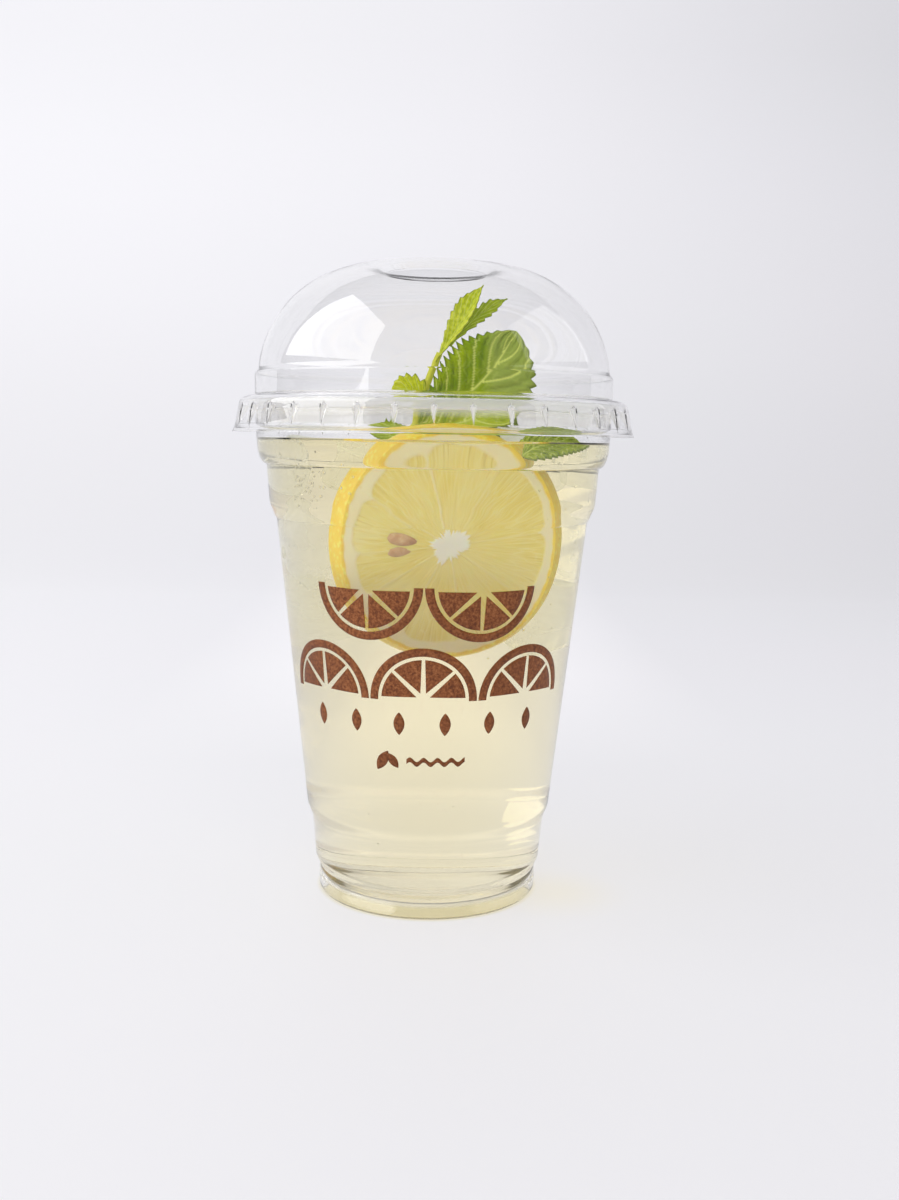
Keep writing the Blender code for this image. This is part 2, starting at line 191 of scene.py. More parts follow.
def dress(item, slot, *nodes):
    """The finished piece rides on the one body and stands for its CAD nodes."""
    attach(item, "root")
    if nodes:
        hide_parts(*nodes)
    item.data.calc_loop_triangles()
    print(item.name, "has", len(item.data.loop_triangles), "triangles")
    return item


def rounded(outline, reach, steps=3):
    """The outline in mm with each corner cut back by up to reach and bent round."""
    points = [Vector(p) for p in outline]
    result = [points[0]]
    for before, corner, after in zip(points, points[1:], points[2:]):
        a = corner + (before - corner).normalized() * min(reach, (before - corner).length * 0.45)
        b = corner + (after - corner).normalized() * min(reach, (after - corner).length * 0.45)
        for i in range(steps + 1):
            t = i / steps
            result.append(a * (1 - t) ** 2 + corner * 2 * t * (1 - t) + b * t * t)
    result.append(points[-1])
    return [(p.x, p.y) for p in result]


# %% [markdown]
# ## Clear plastic
#
# Cup and lid are thermoformed from clear sheet. A see-through mix would look like film, so the sheet is a
# closed wall of real glass-like refraction, at the index of such plastic. Moulding leaves it very
# slightly wavy, which shows as soft wobbles in the highlights. That wobble is one node group, because
# the drink's surface and the ice have a like one. White is mixed into the sheet in three places: in the
# lid's pleats as a painted highlight, by a value that is stored with them, and in the tightly rolled rim
# of the cup and at the edge of its raised underside. Lamps pass straight through the sheet: a Light Path
# mix spares the slow search for bent light.

# %% Waviness as a node group
wobble, ends_in, ends_out = group(
    "wobble", "ShaderNodeTree",
    [("Size", "NodeSocketFloat", 40.0), ("Depth", "NodeSocketFloat", 0.0002), ("Stretch", "NodeSocketFloat", 1.0)],
    [("Normal", "NodeSocketVector"), ("Mask", "NodeSocketFloat")])
where = put(wobble, "ShaderNodeTexCoord").outputs["Object"]
high = put(wobble, "ShaderNodeCombineXYZ", {0: 1.0, 1: 1.0, 2: ends_in.outputs["Stretch"]}).outputs[0]
longer = put(wobble, "ShaderNodeVectorMath", {0: where, 1: high}, operation="MULTIPLY").outputs[0]
waves = put(wobble, "ShaderNodeTexNoise", {"Vector": longer, "Scale": ends_in.outputs["Size"], "Detail": 2.0})
bend = put(wobble, "ShaderNodeBump",
           {"Height": waves.outputs["Fac"], "Distance": ends_in.outputs["Depth"], "Strength": 1.0})
wobble.links.new(bend.outputs[0], ends_out.inputs["Normal"])
wobble.links.new(waves.outputs["Fac"], ends_out.inputs["Mask"])


# %% Clear materials
def clear_material(name, index, tint, roughness, shade, size, depth, stretch=1.0):
    """Smooth clear stuff that lamps shine through, dimmed to shade."""
    surface, tree, shader, output = material(name)
    shader.inputs["Base Color"].default_value = (*tint, 1)
    shader.inputs["Transmission Weight"].default_value = 1
    shader.inputs["IOR"].default_value = index
    shader.inputs["Roughness"].default_value = roughness
    waves = put(tree, "ShaderNodeGroup", node_tree=wobble)
    for label, value in (("Size", size), ("Depth", depth), ("Stretch", stretch)):
        waves.inputs[label].default_value = value
    tree.links.new(waves.outputs["Normal"], shader.inputs["Normal"])
    path = put(tree, "ShaderNodeLightPath")
    lamps = put(tree, "ShaderNodeMath", {0: path.outputs["Is Shadow Ray"], 1: path.outputs["Is Diffuse Ray"]},
                operation="MAXIMUM")
    open_way = put(tree, "ShaderNodeBsdfTransparent", {"Color": (*shade, 1)})
    mixed = put(tree, "ShaderNodeMixShader", {0: lamps.outputs[0], 1: shader.outputs[0], 2: open_way.outputs[0]})
    tree.links.new(mixed.outputs[0], output.inputs["Surface"])
    return surface, tree, output


def whiten(tree, output, share):
    """Mixes in white, lit from both sides, where a share says: painted highlight in the lid's pleats, and white at the
    cup's rolled rim and at the edge of its underside.
    """
    facing = put(tree, "ShaderNodeBsdfDiffuse", {"Color": (0.97, 0.97, 0.98, 1)})
    behind = put(tree, "ShaderNodeBsdfTranslucent", {"Color": (0.97, 0.97, 0.98, 1)})
    white = put(tree, "ShaderNodeMixShader", {0: 0.5, 1: facing.outputs[0], 2: behind.outputs[0]})
    clear = output.inputs["Surface"].links[0].from_socket
    both = put(tree, "ShaderNodeMixShader", {0: share, 1: clear, 2: white.outputs[0]})
    tree.links.new(both.outputs[0], output.inputs["Surface"])


cup_plastic, tree, output = clear_material(
    "cup plastic", 1.5, (0.995, 0.995, 0.995), 0.0, (0.97, 0.97, 0.97), 55, 0.00004, 0.4)
place = put(tree, "ShaderNodeTexCoord").outputs["Object"]
height = put(tree, "ShaderNodeSeparateXYZ", {0: place}).outputs["Z"]
rim_share = put(tree, "ShaderNodeMapRange", {"Value": height, "From Min": 0.1225, "From Max": 0.1240,
                                             "To Max": 0.3}).outputs["Result"]
flat = put(tree, "ShaderNodeVectorMath", {0: place, 1: (1, 1, 0)}, operation="MULTIPLY").outputs[0]
from_axis = put(tree, "ShaderNodeVectorMath", {0: flat}, operation="LENGTH").outputs["Value"]
edge_share = put(tree, "ShaderNodeMapRange", {"Value": from_axis, "From Min": 0.0256, "From Max": 0.0253,
                                              "To Max": 0.5}).outputs["Result"]
outer_part = put(tree, "ShaderNodeMapRange", {"Value": from_axis, "From Min": 0.0248, "From Max": 0.0251}).outputs["Result"]
edge_share = put(tree, "ShaderNodeMath", {0: edge_share, 1: outer_part}, operation="MULTIPLY").outputs[0]
whiten(tree, output, put(tree, "ShaderNodeMath", {0: rim_share, 1: edge_share}, operation="MAXIMUM").outputs[0])
lid_plastic, tree, output = clear_material(
    "lid plastic", 1.5, (0.995, 0.995, 0.995), 0.0, (0.97, 0.97, 0.97), 45, 0.00004)
# painted highlight: white mixed into the pleats where their folds catch the light
pleat_highlight = put(tree, "ShaderNodeAttribute", attribute_name="pleat_highlight").outputs["Fac"]
whiten(tree, output, put(tree, "ShaderNodeMath", {0: pleat_highlight, 1: 0.8}, operation="MULTIPLY").outputs[0])
print("clear materials:", cup_plastic.name, "and", lid_plastic.name)

# %% [markdown]
# ## The cup
#
# The cup is a turned shell: foot, raised underside, a wall that widens in four soft steps, and a rolled
# rim. It could be modelled from a cylinder with loop cuts, but an outline of radius and height that is
# turned about the axis keeps every step at its measured height. Soft steps come from an eased curve and
# small rounded corners, so each one catches a line of light as on the real cup.

# %% Outline of the cup, in mm
CUP_WALL = 0.3
# Each widening: lower radius, lower height, upper radius, upper height, how abruptly it starts
CUP_STEPS = ((28.45, 6.2, 29.7, 9.3, 0.25), (30.65, 19.6, 32.05, 24.0, 0.2), (40.0, 97.4, 41.9, 102.4, 0.4),
             (42.55, 111.0, 45.0, 117.0, 1.0))
RIM_RADIUS, RIM_HEIGHT, RIM_ROLL = 45.75, 125.7, 1.4


def wall(inset, steps=12):
    """The stepped wall from the groove above the foot up to the collar, moved in by inset."""
    points = []
    for low_radius, low, high_radius, high, abrupt in CUP_STEPS:
        for i in range(steps + 1):
            t = (i / steps) ** 1.6
            soft = t * t * (3 - 2 * t)
            ledge = math.sqrt(1 - (1 - t) ** 2)
            share = abrupt * ledge + (1 - abrupt) * soft
            points.append((low_radius + (high_radius - low_radius) * share - inset, low + (high - low) * t))
    return points


def scaled(outline):
    return [(radius * MM, height * MM) for radius, height in outline]


def roll(radius, turns):
    """Points round the rolled rim at these turns in degrees."""
    return [(RIM_RADIUS + radius * math.cos(math.radians(a)), RIM_HEIGHT + radius * math.sin(math.radians(a)))
            for a in turns]


def foot(inset):
    """The raised underside and the hollow foot round it, or their inner side."""
    corners = [(25.2 - inset * 0.5, 3.2 + inset), (26.3 + inset * 0.2, inset), (28.2 - inset * 0.5, inset),
               (28.7 - inset, 0.9 + inset * 0.4), (28.7 - inset, 5.0), (28.45 - inset, 6.2)]
    return [(0, 3.2 + inset), (12, 3.2 + inset)] + rounded(corners, 0.4)


outer = foot(0) + wall(0)[1:] + [(45.25, 120.5), (45.25, 124.2)] + roll(RIM_ROLL - 0.32, range(170, -131, -20))
inner = roll(RIM_ROLL, range(-130, 171, 15)) + [(RIM_RADIUS - RIM_ROLL, 124.3), (45.25 - CUP_WALL, 121.8)]
inner += wall(CUP_WALL)[:0:-1] + foot(CUP_WALL)[::-1]
CUP_COLUMNS = 240
cup = turned("cup_clear", scaled(outer + inner), [2 * math.pi * i / CUP_COLUMNS for i in range(CUP_COLUMNS)],
             [cup_plastic])
dress(cup, "clear_plastic", "cup")

# %% [markdown]
# ## The lid
#
# The lid is one thin sheet: a flat lip, a skirt, a bead that grips the rim, a short collar, the dome and
# a shallow recess with the straw hole. Thirty-six small pleats stiffen the skirt, each a notch that is wide
# at the bead and closes to a point near the lip. The sheet is turned, and then Geometry Nodes press the
# pleats in: they follow a rule, so one small tree with named sizes makes all of them at once, on the
# outer and inner face alike, which keeps the sheet's thickness.

# %% Outline of the lid, in mm
SHEET = 0.3
PLEATS = 36
DOME_RADIUS, DOME_FOOT, DOME_RISE, DOME_BULGE, DOME_SHOULDER = 44.5, 134.4, 27.4, 0.61, 1.2
CREST_RADIUS, HOLE_RADIUS, HOLE_HEIGHT = 20.5, 12.75, 159.3


def dome(inset, steps=32):
    """The dome up to the crest, the turn over it and the flat lip of the hole."""
    crest = math.acos((CREST_RADIUS / DOME_RADIUS) ** (1 / DOME_BULGE))
    points = []
    for i in range(steps + 1):
        angle = crest * i / steps
        points.append(((DOME_RADIUS - inset) * math.cos(angle) ** DOME_BULGE,
                       DOME_FOOT + (DOME_RISE - inset) * math.sin(angle) ** DOME_SHOULDER))
    start, top, end = Vector(points[-1]), Vector((15.6, 161.7 - inset)), Vector((13.5, HOLE_HEIGHT + 0.5 - inset * 0.6))
    for i in range(1, 11):
        t = i / 10
        points.append(tuple(start * (1 - t) ** 2 + top * 2 * t * (1 - t) + end * t * t))
    points += [(13.2, HOLE_HEIGHT + 0.3 - inset * 0.5), (HOLE_RADIUS, HOLE_HEIGHT - inset * 0.35)]
    return points


def lid_side(inset):
    """One face of the sheet from the skirt up to the hole."""
    points = [(50.7 - inset, 119.8), (50.45 - inset, 120.6)]
    points += [(50.3 - 0.191 * (z - 121.2) - inset, z) for z in (121.2, 121.9, 122.6, 123.3, 124.0, 124.6, 125.0)]
    points += [(49.53 - inset, 125.25), (49.48 - inset, 125.5), (49.4 - inset, 125.9)]
    for a in range(0, 91, 15):
        angle = math.radians(a)
        points.append((46.2 + (3.1 - inset) * math.cos(angle), 126.15 + (1.75 - inset) * math.sin(angle)))
    neck = [(46.2, 127.9 - inset), (45.45 - inset, 128.2 - inset * 0.5), (45.45 - inset, 133.4)]
    neck.append(dome(inset)[0])
    points += rounded(neck, 0.3)[1:-1]
    return points + dome(inset)


lip = rounded([(50.7 - SHEET, 118.9), (51.05, 118.9), (51.05, 119.4), (50.7, 119.8)], 0.15, 2)[:-1]
lid_profile = lip + lid_side(0) + [(p[0], p[1]) for p in lid_side(SHEET)[:0:-1]]
TURNS_IN_PLEAT = (0, 0.016, 0.032, 0.048, 0.066, 0.09, 0.15, 0.3)
half = list(TURNS_IN_PLEAT) + [0.5] + [1 - t for t in TURNS_IN_PLEAT[:0:-1]]
lid_angles = [2 * math.pi * (i + t) / PLEATS for i in range(PLEATS) for t in half]
lid = turned("lid_clear", scaled(lid_profile), lid_angles, [lid_plastic])

# %% The pleats as Geometry Nodes
def pleat_tree():
    tree, ends_in, ends_out = group(
        "press the pleats", "GeometryNodeTree",
        [("Geometry", "NodeSocketGeometry", None), ("Pleats", "NodeSocketInt", PLEATS),
         ("Point height", "NodeSocketFloat", 0.1208), ("Wide height", "NodeSocketFloat", 0.1250),
         ("Closed height", "NodeSocketFloat", 0.1256), ("Half width", "NodeSocketFloat", 0.0008),
         ("Depth", "NodeSocketFloat", 0.0015), ("Material", "NodeSocketMaterial", None)],
        [("Geometry", "NodeSocketGeometry")])

    def maths(operation, a, b=0.0):
        return put(tree, "ShaderNodeMath", {0: a, 1: b}, operation=operation).outputs[0]

    def rise(value, low, high):
        node = put(tree, "ShaderNodeMapRange", {"Value": value, "From Min": low, "From Max": high})
        return node.outputs["Result"]

    sizes = ends_in.outputs
    position = put(tree, "GeometryNodeInputPosition").outputs[0]
    parts = put(tree, "ShaderNodeSeparateXYZ", {0: position}).outputs
    pitch = maths("DIVIDE", 2 * math.pi, sizes["Pleats"])
    turn = maths("DIVIDE", maths("ARCTAN2", parts[1], parts[0]), pitch)
    off = maths("ABSOLUTE", maths("SUBTRACT", turn, maths("ROUND", turn)))
    across = maths("MULTIPLY", maths("MULTIPLY", off, pitch), 0.05)
    opening = maths("MULTIPLY", rise(parts[2], sizes["Point height"], sizes["Wide height"]),
                    rise(parts[2], sizes["Closed height"], sizes["Wide height"]))
    width = maths("MAXIMUM", maths("MULTIPLY", opening, sizes["Half width"]), 1e-5)
    notch = maths("SUBTRACT", 1.0, maths("MINIMUM", maths("DIVIDE", across, width), 1.0))
    notch = maths("SMOOTH_MIN", maths("MULTIPLY", notch, 1.6), 1.0)
    press = maths("MULTIPLY", maths("MULTIPLY", notch, opening), maths("MULTIPLY", sizes["Depth"], -1.0))
    flat = put(tree, "ShaderNodeCombineXYZ", {0: parts[0], 1: parts[1], 2: 0.0}).outputs[0]
    out = put(tree, "ShaderNodeVectorMath", {0: flat}, operation="NORMALIZE").outputs[0]
    move = put(tree, "ShaderNodeVectorMath", {0: out, "Scale": press}, operation="SCALE").outputs[0]
    skirt = maths("GREATER_THAN", put(tree, "ShaderNodeVectorMath", {0: flat}, operation="LENGTH").outputs["Value"],
                  0.0475)
    # stores the share of painted highlight for the pleats' folds on the points
    told = put(tree, "GeometryNodeStoreNamedAttribute",
               {"Geometry": sizes["Geometry"], "Name": "pleat_highlight",
                "Value": maths("MULTIPLY", skirt, maths("MULTIPLY", notch, rise(opening, 0.05, 0.3)))},
               data_type="FLOAT", domain="POINT")
    moved = put(tree, "GeometryNodeSetPosition", {"Geometry": told.outputs[0], "Selection": skirt, "Offset": move})
    real = put(tree, "GeometryNodeRealizeInstances", {0: moved.outputs[0]})
    done = put(tree, "GeometryNodeSetMaterial", {"Geometry": real.outputs[0], "Material": sizes["Material"]})
    tree.links.new(done.outputs[0], ends_out.inputs[0])
    return tree


def run_tree(item, tree, name, smooth_angle=None, **inputs):
    """Runs a Geometry Nodes tree on item, and returns its result as a plain mesh."""
    modifier = item.modifiers.new("nodes", "NODES")
    modifier.node_group = tree
    for socket in tree.interface.items_tree:
        if socket.name in inputs:
            modifier[socket.identifier] = inputs[socket.name]
    evaluated = item.evaluated_get(bpy.context.evaluated_depsgraph_get())
    mesh = bpy.data.meshes.new_from_object(evaluated)
    bpy.data.objects.remove(item)
    mesh.name = name
    mesh.shade_smooth()
    if smooth_angle:
        mesh.set_sharp_from_angle(angle=math.radians(smooth_angle))
    made = bpy.data.objects.new(name, mesh)
    scene.collection.objects.link(made)
    return made


lid = run_tree(lid, pleat_tree(), "lid_sheet", 45, Material=lid_plastic)
dress(lid, "clear_plastic", "lid")

# %% [markdown]
# ## The lemonade
#
# The drink fills the cup to a few millimetres under the lid. If its mesh stopped at the inner wall, a
# hair of air would show as a silver skin, so its side reaches just into the plastic. Slices, leaves and
# ice simply stand in it. The colour isn't on its surface: a Volume Absorption node takes a little blue
# from light on its way, so the drink is deeper yellow where there is more of it.

# %% Lemonade
DRINK_LEVEL = 117.0
DRINK_INTO_WALL = 0.15
lemonade_clear, tree, output = clear_material(
    "lemonade", 1.333, (1, 1, 1), 0.0, (0.99, 0.985, 0.96), 90, 0.00006)
absorbed = put(tree, "ShaderNodeVolumeAbsorption", {"Color": (0.985, 0.815, 0.05, 1), "Density": 8.0})
tree.links.new(absorbed.outputs[0], output.inputs["Volume"])

side = [p for p in wall(DRINK_INTO_WALL) if p[1] < DRINK_LEVEL]
bottom = foot(DRINK_INTO_WALL)
top = wall(DRINK_INTO_WALL)[-1][0]
creep = [(top, DRINK_LEVEL + 0.6), (top - 0.4, DRINK_LEVEL + 0.55), (top - 0.7, DRINK_LEVEL + 0.3),
         (top - 1.2, DRINK_LEVEL + 0.12), (top - 2.2, DRINK_LEVEL + 0.03), (38, DRINK_LEVEL), (24, DRINK_LEVEL),
         (10, DRINK_LEVEL), (0, DRINK_LEVEL)]
lemonade = turned("lemonade_drink", scaled(bottom + side[1:] + creep),
                  [2 * math.pi * i / CUP_COLUMNS for i in range(CUP_COLUMNS)], [lemonade_clear])
dress(lemonade, "lemonade", "lemonade")

# %% [markdown]
# ## The lemon slice
#
# A cut lemon has four parts: shiny oily zest, dry white pith, nearly clear sacs of juice in nine uneven
# wedges, and a ragged white core. The slice is one mesh on a polar grid, because every feature runs
# round or outwards. The thin skins between wedges stand a little proud of the juice sacs. What each
# point belongs to is worked out once and stored on it, so that the colours follow the shape exactly.

# %% Where the slice stands
LEMON_CENTRE = Vector((3.9, -26.2, 93.2)) * MM
LEMON_PLACE = (Matrix.Translation(LEMON_CENTRE) @ Matrix.Rotation(math.radians(8.5), 4, "Z")
               @ Matrix.Rotation(math.radians(7.0), 4, "X"))
LEMON_WIDE, LEMON_TALL, LEMON_THICK = 26.6, 28.7, 7.0
FACE_INSET, BACK_INSET = 1.5, 0.5
# Each skin between two wedges: its direction in degrees, and how much it shows
SKINS = ((8, 0.25), (59, 0.3), (106, 0.85), (150, 0.5), (186, 0.3), (213, 0.35), (242, 0.45), (280, 0.5), (325, 0.35))
JUICE_REACH = 21.9  # mm from the middle to where the white layer starts


def smooth_step(low, high, x):
    t = np.clip((x - low) / (high - low), 0, 1)
    return t * t * (3 - 2 * t)


def lemon_field(angle, reach):
    """The shares of juice and of the white core at each point of the cut."""
    nearest, strength = np.full(angle.shape, 9.0), np.zeros(angle.shape)
    for direction, shows in SKINS:
        gap = np.abs((angle - math.radians(direction) + math.pi) % (2 * math.pi) - math.pi)
        strength = np.where(gap < nearest, shows, strength)
        nearest = np.minimum(nearest, gap)
    away = nearest * reach
    rough = np.array([noise.noise((2.2 * math.cos(a), 2.2 * math.sin(a), 0.5)) for a in angle])
    ragged = np.array([noise.noise((9 * math.cos(a), 9 * math.sin(a), 3.5)) for a in angle])
    corner = np.clip(1 - nearest * JUICE_REACH / 3.0, 0, 1)
    edge = JUICE_REACH - 2.1 * (1 - np.sqrt(1 - corner ** 2)) + 0.8 * rough + 0.25 * ragged
    star = 3.3 + 0.6 * np.cos(2 * angle - 0.7) + 1.4 * strength * np.exp(-((nearest / 0.15) ** 2))
    star = star + 1.2 * rough + 1.1 * ragged
    skin = (1 - smooth_step(0.10, 0.22 + 0.012 * reach, away)) * strength
    juice = (1 - smooth_step(edge - 0.3, edge + 0.3, reach)) * smooth_step(star - 0.3, star + 0.3, reach)
    return juice * (1 - 0.9 * skin), 1 - smooth_step(star - 0.4, star + 0.2, reach)


# %% The slice's mesh
def lemon_slice():
    columns = 320
    angle = np.linspace(0, 2 * math.pi, columns, endpoint=False)
    face = np.linspace(0, 1, 74)[1:] ** 0.93
    rows = [(f, 0, "front") for f in face]
    for t in np.linspace(0, 1, 12)[1:-1]:
        bulge = FACE_INSET * (1 - t) ** 1.7
        rows.append((bulge, t * LEMON_THICK * 0.85, "side"))
    rows += [(0.0, LEMON_THICK * 0.85, "side"), (0.12, LEMON_THICK * 0.94, "side")]
    rows += [(f, LEMON_THICK, "back") for f in face[::-1]]
    points, juice_values, zest_values, core_values, fibres = [(0, 0, 0)], [0], [0], [1], [(0, 0, 0)]
    for size, depth, part in rows:
        if part == "side":
            wide, tall = LEMON_WIDE - size, LEMON_TALL - size
            reach = np.full(columns, wide)
            juice = core = np.zeros(columns)
            zest = np.ones(columns)
            lift = np.zeros(columns)
        else:
            inset = FACE_INSET if part == "front" else BACK_INSET
            wide, tall = (LEMON_WIDE - inset) * size, (LEMON_TALL - inset) * size
            reach = np.full(columns, wide)
            juice, core = lemon_field(angle, reach)
            rim = LEMON_WIDE - inset
            zest = smooth_step(rim - 1.1, rim - 0.6, reach + 0.12 * np.sin(40 * angle))
            lift = 0.28 * juice - 0.10 * zest
            ridges = np.array([noise.noise((math.cos(a) * 24, math.sin(a) * 24, r * 0.18))
                               for a, r in zip(angle, reach)])
            lift = lift + juice * 0.12 * ridges
        inward = lift if part == "front" else -lift
        block = np.stack([wide * np.cos(angle), np.full(columns, depth) + inward, tall * np.sin(angle)], 1)
        points.extend(block)
        juice_values.extend(juice)
        zest_values.extend(zest)
        core_values.extend(core)
        fibres.extend(np.stack([np.cos(angle), np.sin(angle), reach / 25], 1))
    points.append((0, LEMON_THICK, 0))
    juice_values.append(0)
    zest_values.append(0)
    core_values.append(1)
    fibres.append((0, 0, 0))
    faces = [(0, 1 + (i + 1) % columns, 1 + i) for i in range(columns)]
    for row in range(len(rows) - 1):
        faces.extend(band(1 + row * columns, 1 + (row + 1) * columns, columns))
    last, tip = 1 + (len(rows) - 1) * columns, len(points) - 1
    faces.extend((last + i, last + (i + 1) % columns, tip) for i in range(columns))
    placed = [LEMON_PLACE @ (Vector(p) * MM) for p in points]
    values = {"juice": juice_values, "zest": zest_values, "core": core_values, "fibre": fibres}
    return face_outwards(add_mesh("lemon_slice_cut", placed, faces, [lemon_flesh], 60, values))


# %% [markdown]
# ### Colours of the lemon
#
# Juice sacs are long drops that point at the core, so their pattern is a Voronoi texture on stretched
# polar coordinates that were stored with the mesh. Light goes a few millimetres into the flesh before it
# comes back, which Subsurface gives. The zest is deeper yellow with fine pores.

# %% Lemon material
def stored(tree, name, output="Fac"):
    return put(tree, "ShaderNodeAttribute", attribute_name=name).outputs[output]


def mix(tree, factor, a, b, blend="MIX"):
    node = put(tree, "ShaderNodeMix", data_type="RGBA", blend_type=blend)
    for index, value in ((0, factor), (6, a), (7, b)):
        if isinstance(value, bpy.types.NodeSocket):
            tree.links.new(value, node.inputs[index])
        else:
            node.inputs[index].default_value = value if index == 0 else (*value, 1)
    return node.outputs[2]


def lemon_material():
    surface, tree, shader, output = material("lemon flesh")
    polar = stored(tree, "fibre", "Vector")
    place = put(tree, "ShaderNodeTexCoord").outputs["Object"]

    def stretched(size):
        return put(tree, "ShaderNodeVectorMath", {0: polar, 1: size}, operation="MULTIPLY").outputs[0]

    sacs = put(tree, "ShaderNodeTexVoronoi", {"Vector": stretched((17, 17, 3.2)), "Scale": 1.0},
               feature="DISTANCE_TO_EDGE")
    fibres = put(tree, "ShaderNodeTexNoise", {"Vector": stretched((46, 46, 2.6)), "Scale": 1.0, "Detail": 3.0}).outputs["Fac"]
    patches = put(tree, "ShaderNodeTexNoise", {"Vector": polar, "Scale": 2.3, "Detail": 2.0})
    sac_colour = ramp(tree, sacs.outputs["Distance"],
                      [(0.0, (0.95, 0.84, 0.34)), (0.06, (0.89, 0.74, 0.17)), (0.4, (0.82, 0.66, 0.09))])
    juice_colour = mix(tree, patches.outputs["Fac"], sac_colour, (0.92, 0.79, 0.20))
    watery = put(tree, "ShaderNodeTexNoise", {"Vector": place, "Scale": 75.0, "Detail": 2.0}).outputs["Fac"]
    juice_colour = mix(tree, ramp(tree, watery, [(0.42, (0, 0, 0)), (0.64, (0.4, 0.4, 0.4))]), juice_colour,
                       (0.97, 0.88, 0.46))
    pale = ramp(tree, fibres, [(0.5, (0, 0, 0)), (0.74, (0.36, 0.36, 0.36))])
    streaked = mix(tree, pale, juice_colour, (0.97, 0.89, 0.40))
    outwards = put(tree, "ShaderNodeSeparateXYZ", {0: polar}).outputs["Z"]
    near_pith = put(tree, "ShaderNodeMapRange", {"Value": outwards, "From Min": 0.6, "From Max": 0.86, "To Min": 0.03,
                                                 "To Max": 0.5}).outputs["Result"]
    dark = ramp(tree, fibres, [(0.32, (1, 1, 1)), (0.43, (0, 0, 0))])
    toothed = mix(tree, put(tree, "ShaderNodeMath", {0: dark, 1: near_pith}, operation="MULTIPLY").outputs[0], streaked,
                  (0.66, 0.50, 0.07))
    pith = mix(tree, patches.outputs["Fac"], (0.97, 0.88, 0.56), (0.92, 0.80, 0.44))
    flesh = mix(tree, stored(tree, "juice"), pith, toothed)
    flesh = mix(tree, stored(tree, "core"), flesh, (1.0, 0.99, 0.86))
    mottle = put(tree, "ShaderNodeTexNoise", {"Vector": place, "Scale": 260.0, "Detail": 3.0})
    pores = put(tree, "ShaderNodeTexVoronoi", {"Vector": place, "Scale": 700.0})
    zest = mix(tree, mottle.outputs["Fac"], (0.93, 0.58, 0.004), (0.98, 0.76, 0.02))
    zest = mix(tree, ramp(tree, pores.outputs["Distance"], [(0.12, (0.9,) * 3), (0.45, (0.0,) * 3)]), zest,
               (1.0, 0.86, 0.14))
    tree.links.new(mix(tree, stored(tree, "zest"), flesh, zest), shader.inputs["Base Color"])
    bumps = mix(tree, stored(tree, "zest"), (0, 0, 0), (1, 1, 1))
    depth = mix(tree, bumps, sacs.outputs["Distance"], pores.outputs["Distance"])
    relief = put(tree, "ShaderNodeBump", {"Height": depth, "Distance": 0.0002, "Strength": 0.45})
    tree.links.new(relief.outputs[0], shader.inputs["Normal"])
    shader.inputs["Roughness"].default_value = 0.35
    shader.inputs["Subsurface Weight"].default_value = 0.55
    shader.inputs["Subsurface Radius"].default_value = (1.0, 0.75, 0.3)
    shader.inputs["Subsurface Scale"].default_value = 0.0018
    return surface


lemon_flesh = lemon_material()
slice_piece = dress(lemon_slice(), "lemon", "lemon_slice")

# %% [markdown]
# ### Seeds
#
# Two pale brown seeds lie together in the wedge at the left, their points towards the core. Each is a
# drop: a turned outline, squashed, and half sunk in the juice.

# %% Seeds
def seed_points(middle, turn, length, thick):
    """Rings of a drop whose thin end points along turn, in the slice's own mm."""
    rings, around = 22, 20
    points = []
    for i in range(rings + 1):
        t = i / rings
        radius = thick * math.sin(math.pi * t ** 0.62) ** 0.8 if 0 < i < rings else 0.02
        for j in range(around):
            a = 2 * math.pi * j / around
            along, across = (t - 0.4) * length, radius * math.cos(a)
            x = middle[0] + along * math.cos(turn) - across * math.sin(turn)
            z = middle[1] + along * math.sin(turn) + across * math.cos(turn)
            points.append((x, middle[2] + 0.62 * radius * math.sin(a), z))
    return points, rings, around


def seeds():
    points, faces = [], []
    for middle, turn, length, thick in (((-10.6, 1.3, 0.9), -0.17, 9.4, 1.85), ((-10.9, -1.6, 0.95), 0.15, 8.6, 1.6)):
        ring_points, rings, around = seed_points(middle, turn, length, thick)
        start = len(points)
        points.extend(LEMON_PLACE @ (Vector(p) * MM) for p in ring_points)
        for i in range(rings):
            faces.extend(band(start + i * around, start + (i + 1) * around, around))
        faces.append(tuple(start + i for i in range(around)))
        faces.append(tuple(start + rings * around + i for i in range(around)))
    return face_outwards(add_mesh("lemon_seeds", points, faces, [seed_skin], 60))


seed_skin, tree, shader, output = material("lemon seed")
place = put(tree, "ShaderNodeTexCoord").outputs["Object"]
grain = put(tree, "ShaderNodeTexNoise", {"Vector": place, "Scale": 420.0, "Detail": 4.0})
tree.links.new(ramp(tree, grain.outputs["Fac"], [(0.3, (0.50, 0.25, 0.09)), (0.5, (0.66, 0.39, 0.17)),
                                                  (0.7, (0.80, 0.58, 0.30))]), shader.inputs["Base Color"])
shader.inputs["Roughness"].default_value = 0.4
shader.inputs["Subsurface Weight"].default_value = 0.3
shader.inputs["Subsurface Scale"].default_value = 0.001
dress(seeds(), "lemon")

# %% [markdown]
# ## Mint
#
# A mint leaf is quilted: veins stay low or proud while the blade swells between them, and its edge has
# small forward teeth. Each leaf here is a fine grid laid along a bent midrib. The same rule that places
# the veins lifts the blade between them and is stored on the points, so that the pale veins in the
# material lie exactly on the ridges.

